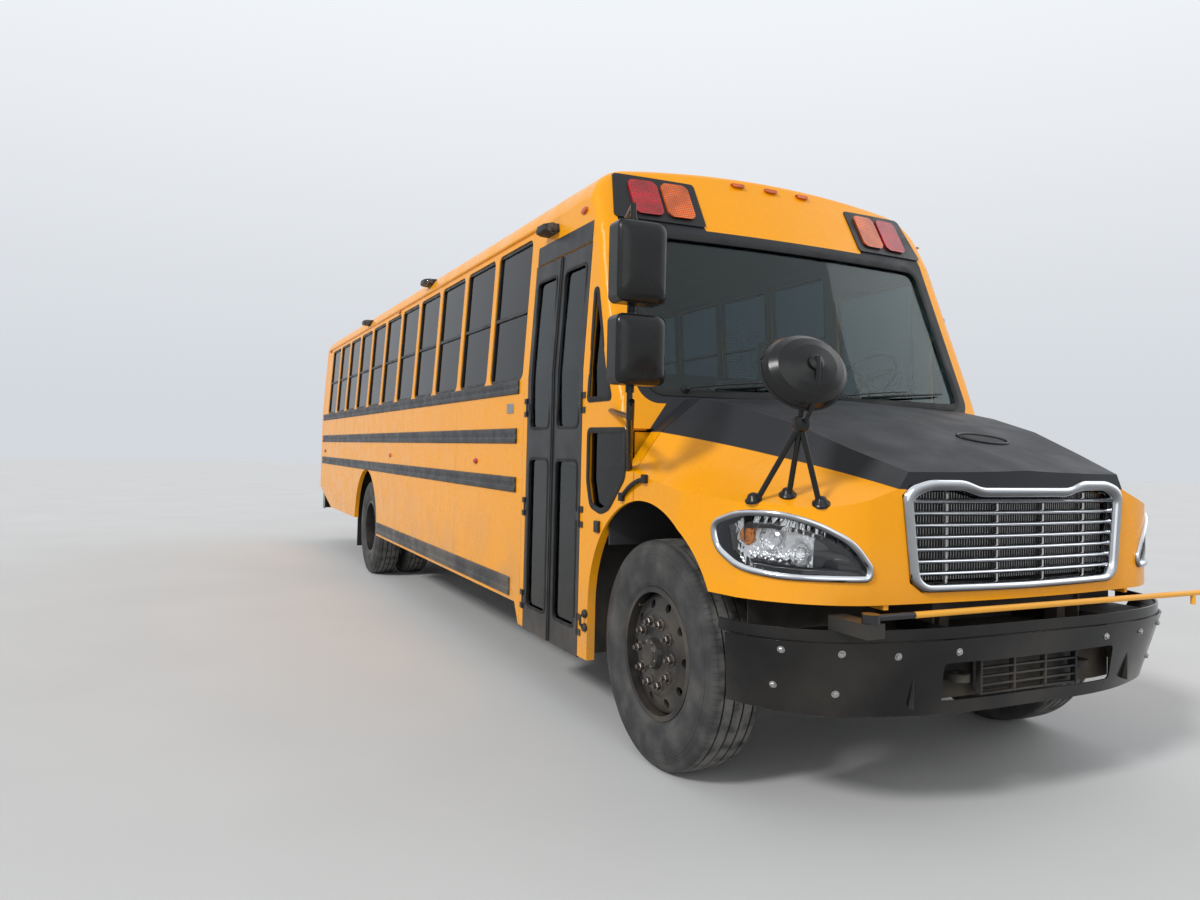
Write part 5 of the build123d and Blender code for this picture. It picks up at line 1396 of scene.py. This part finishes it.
# Entrance head: the black panel over the leaves
bm = bmesh.new()
rows = []
for z, out in ((2.5465, 0.003), (2.60, 0.004), (2.66, 0.003)):
    x = -wall_x(z) - out
    rows.append([Vector((x, at(1.772), z)), Vector((x + 0.006, at(1.772), z)),
                 Vector((x + 0.006, at(2.560), z)), Vector((x, at(2.560), z))])
bridge(bm, rows)
finish_mesh("door_head", bm, "bus", M["door_black"], bevel=0.0015)


# Mirrors: glasses on the heads and domes, and clamps on the tube
MIRROR_X = 1.430
DRIVER_MIRROR_SHIFT = 1.2
HEADS = [(2.215, 0.344), (1.850, 0.291)]
bm = bmesh.new()
clamps = bmesh.new()
for side in SIDES:
    shift = DRIVER_MIRROR_SHIFT if side > 0 else 0.0
    for height, tall in HEADS:
        outline = rounded([(-0.100, -tall / 2 + 0.015), (0.100, -tall / 2 + 0.015),
                           (0.100, tall / 2 - 0.015), (-0.100, tall / 2 - 0.015)], 0.03, 5)
        rows = []
        for lift, share in ((0.0, 1.0), (0.004, 0.99), (0.006, 0.9), (0.007, 0.02)):
            rows.append([Vector((side * (MIRROR_X + p.x * share), at(0.8122 + shift) + lift,
                                 height + p.y * share)) for p in outline])
        bridge(bm, rows)
        shell = rounded([(-0.115, -tall / 2), (0.115, -tall / 2), (0.115, tall / 2),
                         (-0.115, tall / 2)], 0.045, 7)
        rows = []
        for lift, share in ((0.0045, 1.003), (0.0, 0.995), (-0.012, 0.93), (-0.021, 0.80),
                            (-0.026, 0.55), (-0.028, 0.2), (-0.0285, 0.02)):
            rows.append([Vector((side * (MIRROR_X + p.x * share), at(0.7305 + shift) + lift,
                                 height + p.y * share)) for p in shell])
        bridge(clamps, rows)
        for end in (tall / 2 + 0.012, -tall / 2 - 0.012):
            lathe(clamps, [(-0.016, 0.019), (0.016, 0.019)],
                  (side * MIRROR_X, at(0.820 + shift), height + end), (0, 0, 1), 20)
finish_mesh("mirror_glasses", bm, "bus", M["mirror_glass"], smooth=50)
finish_mesh("mirror_shells", clamps, "bus", M["mirror_shell"], smooth=50)
CROSSVIEW = Vector((-1.040, at(0.170), 1.736))
CROSSVIEW_OUT = Vector((-0.12, -0.94, 0.32)).normalized()
CROSSVIEW_HALF = (0.176, 0.146)
CROSSVIEW_UP = CROSSVIEW_OUT.cross(Vector((1, 0, 0))).normalized()
CROSSVIEW_ACROSS = CROSSVIEW_UP.cross(CROSSVIEW_OUT).normalized()


def crossview_ring(share, lift):
    """An ellipse square to the crossview mirror's own axis."""
    ring = []
    for i in range(48):
        angle = 2 * pi * i / 48
        ring.append(CROSSVIEW + CROSSVIEW_OUT * lift
                    + CROSSVIEW_ACROSS * CROSSVIEW_HALF[0] * share * cos(angle)
                    + CROSSVIEW_UP * CROSSVIEW_HALF[1] * share * sin(angle))
    return ring


bm = bmesh.new()
rim = bmesh.new()
bridge(bm, [crossview_ring(s, d) for s, d in ((0.96, -0.001), (0.9, -0.006), (0.7, -0.014),
                                               (0.4, -0.021), (0.05, -0.024))])
tube(rim, crossview_ring(1.0, 0.002), 0.006, 8, closed=True)
finish_mesh("crossview_glass", bm, "hood_group", M["mirror_glass"], smooth=60)
finish_mesh("crossview_rim", rim, "hood_group", M["rubber"], smooth=60)
FORK = Vector((-1.046, at(0.170), 1.545))
FEET = [(-1.115, 0.362), (-0.938, 0.178), (-1.004, 0.296)]
bm = bmesh.new()
hub = CROSSVIEW + CROSSVIEW_OUT * 0.088
lathe(bm, [(0.0, 0.030), (0.016, 0.030), (0.022, 0.022), (0.024, 0.004)], hub, CROSSVIEW_OUT, 28)
stem_top = hub + CROSSVIEW_OUT * 0.022
tube(bm, [stem_top + Vector((0, 0, 0.02)), stem_top - Vector((0, 0, 0.05)),
          (FORK + stem_top) / 2 + Vector((0, -0.02, -0.05)), FORK + Vector((0, -0.02, 0.0))], 0.0095, 12)
lathe(bm, [(-0.024, 0.020), (-0.018, 0.030), (0.018, 0.030), (0.024, 0.020)], FORK, (1, 0, 0), 24)
for x, station in FEET:
    place, normal = hood_top(x, station)
    lathe(bm, [(-0.002, 0.034), (0.006, 0.034), (0.012, 0.026), (0.026, 0.019), (0.032, 0.008)],
          place, normal, 24)
finish_mesh("crossview_fittings", bm, "hood_group", M["mirror_shell"], smooth=50)


# Rear: seals round the panes and the door, handle, bare plate and bumper bolts
def rear_place(point, lift):
    """A point on the flat rear face."""
    return Vector((point.x, at(REAR_FACE) + lift, point.y))


def upright(low_x, high_x, low_z, high_z):
    """Corners of an upright rectangle on the rear face."""
    return [(low_x, low_z), (high_x, low_z), (high_x, high_z), (low_x, high_z)]


bm = bmesh.new()
for side in SIDES:
    pane = upright(side * 0.430, side * 1.000, 1.880, 2.560)
    seal_ring(bm, rounded(pane, 0.07, 5), rear_place, 0.016, 0.016, 0.007)
door_frame = upright(-0.352, 0.352, 0.978, 2.527)
seal_ring(bm, rounded(door_frame, 0.01, 3), rear_place, 0.0035, 0.018, 0.006)
finish_mesh("rear_seals", bm, "bus", M["rubber"], smooth=60)
bm = bmesh.new()
for low, high in ((1.880, 2.420), (1.200, 1.640)):
    pane = upright(-0.249, 0.249, low, high)
    seal_ring(bm, rounded(pane, 0.055, 5), rear_place, 0.012, 0.016, 0.006)
finish_mesh("rear_door_seals", bm, "emergency_door", M["rubber"], smooth=60)
REAR_Y = at(REAR_FACE)
HANDLE_HEIGHT = 1.750
bm = bmesh.new()
box(bm, (0.235, REAR_Y, 1.700), (0.325, REAR_Y + 0.010, 1.800))
lever = [(0.255, 0.008), (0.255, 0.045), (0.240, 0.050), (0.100, 0.050)]
tube(bm, [(x, REAR_Y + out, HANDLE_HEIGHT) for x, out in lever], 0.010, 12)
finish_mesh("rear_door_handle", bm, "emergency_door", M["satin_black"], bevel=0.002)
bm = bmesh.new()
box(bm, (0.62, REAR_Y, 0.905), (0.95, REAR_Y + 0.006, 1.075))
box(bm, (0.70, REAR_Y, 1.080), (0.87, REAR_Y + 0.035, 1.105))
finish_mesh("plate_place", bm, "bus", M["satin_black"], bevel=0.002)
# The bumper's face is the end of the bus, so its bolt heads are almost flush
FLUSH_HEAD = 0.0015
bm = bmesh.new()
for x in (-0.9, -0.55, 0.55, 0.9):
    for z in (0.53, 0.71):
        hex_bolt(bm, (x, at(REAR_END), z), (0, 1, 0), 0.013, FLUSH_HEAD)
finish_mesh("rear_bumper_bolts", bm, "bus", M["bright_steel"], smooth=30)


# Seats: crowned cushions on the benches, without piping
def cushion(bm, low, high, crown, cells=(8, 6, 2)):
    """A closed pad between two corners whose faces swell and whose edges are pulled in."""
    low, high = Vector(low), Vector(high)
    size = high - low
    made = {}

    def vertex(i, j, k):
        key = (i, j, k)
        if key not in made:
            u, v, w = i / cells[0], j / cells[1], k / cells[2]
            swell = sin(pi * u) ** 0.5 * sin(pi * v) ** 0.5 if 0 < u < 1 and 0 < v < 1 else 0.0
            point = Vector((low.x + size.x * u, low.y + size.y * v, low.z + size.z * w))
            point.z += crown * (swell - 1) * (1 if k == cells[2] else 0)
            if k in (0, cells[2]):
                pull = 0.010
                point.x += pull * (1 if i == 0 else -1 if i == cells[0] else 0)
                point.y += pull * (1 if j == 0 else -1 if j == cells[1] else 0)
            made[key] = bm.verts.new(point)
        return made[key]

    for i in range(cells[0]):
        for j in range(cells[1]):
            for k in (0, cells[2]):
                bm.faces.new([vertex(i, j, k), vertex(i + 1, j, k), vertex(i + 1, j + 1, k),
                              vertex(i, j + 1, k)])
    for k in range(cells[2]):
        for i in range(cells[0]):
            for j in (0, cells[1]):
                bm.faces.new([vertex(i, j, k), vertex(i + 1, j, k), vertex(i + 1, j, k + 1),
                              vertex(i, j, k + 1)])
        for j in range(cells[1]):
            for i in (0, cells[0]):
                bm.faces.new([vertex(i, j, k), vertex(i, j + 1, k), vertex(i, j + 1, k + 1),
                              vertex(i, j, k + 1)])
    return list(made.values())


def softened(piece, levels=1):
    """A padded piece under levels of subdivision."""
    modifier = piece.modifiers.new("soft", "SUBSURF")
    modifier.levels = levels
    modifier.render_levels = levels
    return piece


SEAT_FIRST = 3.000
CUSHION = 0.430
BENCH_AISLE = 0.190
BENCH_WALL = 1.156
BENCH_UNDERSIDE = 1.402
BENCH_TOP = 1.482
BACK_TALL = 0.640
BACK_THICK = 0.070
BACK_FOOT = 1.405
BACK_LEAN = 0.094
SHIELD_STATION = 2.740
SHIELD_TALL = 0.840
SHIELD_THICK = 0.040
SHIELD_FOOT = 1.110
cushions = bmesh.new()
backs = bmesh.new()
legs = bmesh.new()
for i in range(WINDOW_COUNT):
    start = SEAT_FIRST + i * WINDOW_PITCH
    for side in SIDES:
        low_x, high_x = sorted((side * BENCH_AISLE, side * BENCH_WALL))
        cushion(cushions, (low_x, at(start), BENCH_UNDERSIDE), (high_x, at(start + CUSHION), BENCH_TOP),
                0.014)
        rear = at(start + CUSHION)
        verts = cushion(backs, (low_x, 0.0, 0.0), (high_x, BACK_TALL, BACK_THICK), 0.016, (8, 7, 2))
        for vertex in verts:
            along, lift = vertex.co.y, vertex.co.z
            vertex.co.y = rear + 0.006 + BACK_THICK - lift + along * BACK_LEAN
            vertex.co.z = BACK_FOOT + along
        aisle = side * 0.200
        for y in (0.12, 0.36):
            tube(legs, [(aisle, at(start + y), 1.042), (aisle, at(start + y), 1.398)], 0.013, 10)
        tube(legs, [(aisle, at(start + 0.10), 1.396), (aisle, at(start + 0.40), 1.396)], 0.010, 8)
        box(legs, (aisle - 0.03, at(start + 0.10), 1.0403), (aisle + 0.03, at(start + 0.38), 1.046))
for side in SIDES:
    low_x, high_x = sorted((side * BENCH_AISLE, side * BENCH_WALL))
    verts = cushion(backs, (low_x, 0.0, 0.0), (high_x, SHIELD_TALL, SHIELD_THICK), 0.008, (8, 7, 2))
    for vertex in verts:
        along, lift = vertex.co.y, vertex.co.z
        vertex.co.y = at(SHIELD_STATION) - lift
        vertex.co.z = SHIELD_FOOT + along
    for x in (side * 0.23, side * 1.10):
        tube(legs, [(x, at(2.72), 1.041), (x, at(2.72), 1.16)], 0.014, 10)
for name, pads in (("bench_cushions", cushions), ("bench_backs", backs)):
    piece = softened(finish_mesh(name, pads, "bus", M["vinyl"], smooth=70))
leg_piece = finish_mesh("bench_legs", legs, "bus", M["chassis"], smooth=40)
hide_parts("passenger_seats")

SEAT_X = 0.690
SEAT_LEFT = SEAT_X - 0.235
SEAT_RIGHT = SEAT_X + 0.235
bm = bmesh.new()
cushion(bm, (SEAT_LEFT, at(2.045), 1.425), (SEAT_RIGHT, at(2.475), 1.535), 0.030)
verts = cushion(bm, (SEAT_LEFT, 0.0, 0.0), (SEAT_RIGHT, 0.700, 0.095), 0.028)
for vertex in verts:
    along, lift = vertex.co.y, vertex.co.z
    vertex.co.y = at(2.545) - lift + along * 0.09
    vertex.co.z = 1.520 + along
driver = softened(finish_mesh("driver_pads", bm, "bus", M["cloth"], smooth=70), 2)
bm = bmesh.new()
box(bm, (SEAT_X - 0.16, at(2.120), 1.0405), (SEAT_X + 0.16, at(2.42), 1.10))
# Bellows between the foot and the seat: every second ring stands out
BELLOWS_STATION = 2.27
BELLOWS_FOLDS = 8
rows = []
for i in range(BELLOWS_FOLDS + 1):
    z = 1.10 + 0.30 * i / BELLOWS_FOLDS
    grow = 0.14 + (0.02 if i % 2 else 0.0)
    rows.append([Vector((SEAT_X + grow * cos(a), at(BELLOWS_STATION) + grow * sin(a), z))
                 for a in [2 * pi * k / 24 for k in range(24)]])
bridge(bm, rows)
box(bm, (SEAT_X - 0.20, at(2.09), 1.40), (SEAT_X + 0.20, at(2.44), 1.424))
pedestal = finish_mesh("driver_pedestal", bm, "bus", M["rubber"], bevel=0.004)
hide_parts("driver_seat")

# Dashboard: instrument hood and vents
DIAL_HOOD = [(1.40, 0.72), (1.50, 0.95), (1.60, 1.0), (1.625, 0.97)]
bm = bmesh.new()
rows = []
for station, scale in DIAL_HOOD:
    rows.append([Vector((SEAT_X + 0.24 * scale * cos(a), at(station), 1.638 + 0.085 * scale * sin(a)))
                 for a in [pi * k / 16 for k in range(17)]])
bridge(bm, rows)
for x in (-0.85, -0.35, 0.15, 1.02):
    for i in range(5):
        box(bm, (x - 0.07, at(1.640), 1.545 + i * 0.014), (x + 0.07, at(1.647), 1.549 + i * 0.014))
finish_mesh("dash_details", bm, "bus", M["dash"], bevel=0.002)

# Stage: pale floor, soft light and the camera of the photograph
floor = bmesh.new()
STAGE_REACH = 60.0
corners = [floor.verts.new((x, y, 0)) for x, y in
           ((-STAGE_REACH, -STAGE_REACH), (STAGE_REACH, -STAGE_REACH), (STAGE_REACH, STAGE_REACH),
            (-STAGE_REACH, STAGE_REACH))]
floor.faces.new(corners)
ground_mesh = bpy.data.meshes.new("ground")
floor.to_mesh(ground_mesh)
floor.free()
ground = bpy.data.objects.new("ground", ground_mesh)
bpy.context.scene.collection.objects.link(ground)
pale = Look("ground", (0.62, 0.62, 0.61), 0.75)
pale.give("Base Color", pale.mixed(pale.noise(0.8, 6), (0.58, 0.58, 0.57), (0.66, 0.66, 0.65)))
ground_mesh.materials.append(pale.material)


def sky():
    """A pale surround, whiter overhead, that camera, mirrors and glass see at full strength."""
    world = bpy.data.worlds.new("surround")
    bpy.context.scene.world = world
    world.use_nodes = True
    tree = world.node_tree
    tree.nodes.clear()
    output = tree.nodes.new("ShaderNodeOutputWorld")
    coordinates = tree.nodes.new("ShaderNodeTexCoord")
    split = tree.nodes.new("ShaderNodeSeparateXYZ")
    tree.links.new(coordinates.outputs["Generated"], split.inputs[0])
    rise = tree.nodes.new("ShaderNodeMapRange")
    rise.interpolation_type = "SMOOTHSTEP"
    rise.inputs[1].default_value = -0.02
    rise.inputs[2].default_value = 0.55
    tree.links.new(split.outputs["Z"], rise.inputs[0])
    blend = tree.nodes.new("ShaderNodeMix")
    blend.data_type = "RGBA"
    blend.inputs[6].default_value = (0.66, 0.69, 0.73, 1)
    blend.inputs[7].default_value = (0.90, 0.93, 0.97, 1)
    tree.links.new(rise.outputs[0], blend.inputs[0])
    path = tree.nodes.new("ShaderNodeLightPath")
    seen = path.outputs["Is Camera Ray"]
    for name in ("Is Glossy Ray", "Is Transmission Ray"):
        join = tree.nodes.new("ShaderNodeMath")
        join.operation = "MAXIMUM"
        tree.links.new(seen, join.inputs[0])
        tree.links.new(path.outputs[name], join.inputs[1])
        seen = join.outputs[0]
    strength = tree.nodes.new("ShaderNodeMapRange")
    strength.inputs[3].default_value = 0.62
    strength.inputs[4].default_value = 1.0
    tree.links.new(seen, strength.inputs[0])
    light = tree.nodes.new("ShaderNodeBackground")
    tree.links.new(blend.outputs[2], light.inputs["Color"])
    tree.links.new(strength.outputs[0], light.inputs["Strength"])
    tree.links.new(light.outputs[0], output.inputs["Surface"])


def sun(name, direction, strength, spread):
    """A soft far light shining along a direction."""
    data = bpy.data.lights.new(name, "SUN")
    data.energy = strength
    data.angle = radians(spread)
    lamp = bpy.data.objects.new(name, data)
    lamp.rotation_euler = Vector(direction).to_track_quat("-Z", "Y").to_euler()
    bpy.context.scene.collection.objects.link(lamp)


sky()
sun("key", (0.78, 0.30, -0.62), 1.75, 10)
sun("front_fill", (0.25, 0.90, -0.35), 0.55, 50)
sun("far_fill", (-0.85, 0.10, -0.40), 0.45, 50)

CAMERA_PLACE = Vector((-3.1401, -8.1124, 1.4314))
CAMERA_YAW = 0.4443
CAMERA_PITCH = 0.0309
CAMERA_ROLL = 0.0223
SENSOR = 36.0
FOCAL_SHARE = 885.34 / 1200
RISE_SHARE = (422.78 - 450) / 1200
forward = Vector((sin(CAMERA_YAW) * cos(CAMERA_PITCH), cos(CAMERA_YAW) * cos(CAMERA_PITCH),
                  sin(CAMERA_PITCH)))
level = Vector((cos(CAMERA_YAW), -sin(CAMERA_YAW), 0))
above = level.cross(forward)
right = level * cos(CAMERA_ROLL) + above * sin(CAMERA_ROLL)
up = above * cos(CAMERA_ROLL) - level * sin(CAMERA_ROLL)
camera_data = bpy.data.cameras.new("camera")
camera_data.sensor_width = SENSOR
camera_data.lens = SENSOR * FOCAL_SHARE
camera_data.shift_y = RISE_SHARE
camera_data.clip_end = 300
camera = bpy.data.objects.new("camera", camera_data)
turn = Matrix((right, up, -forward)).transposed().to_4x4()
camera.matrix_world = Matrix.Translation(CAMERA_PLACE) @ turn
bpy.context.scene.collection.objects.link(camera)
bpy.context.scene.camera = camera
bpy.context.scene.view_settings.view_transform = "Standard"
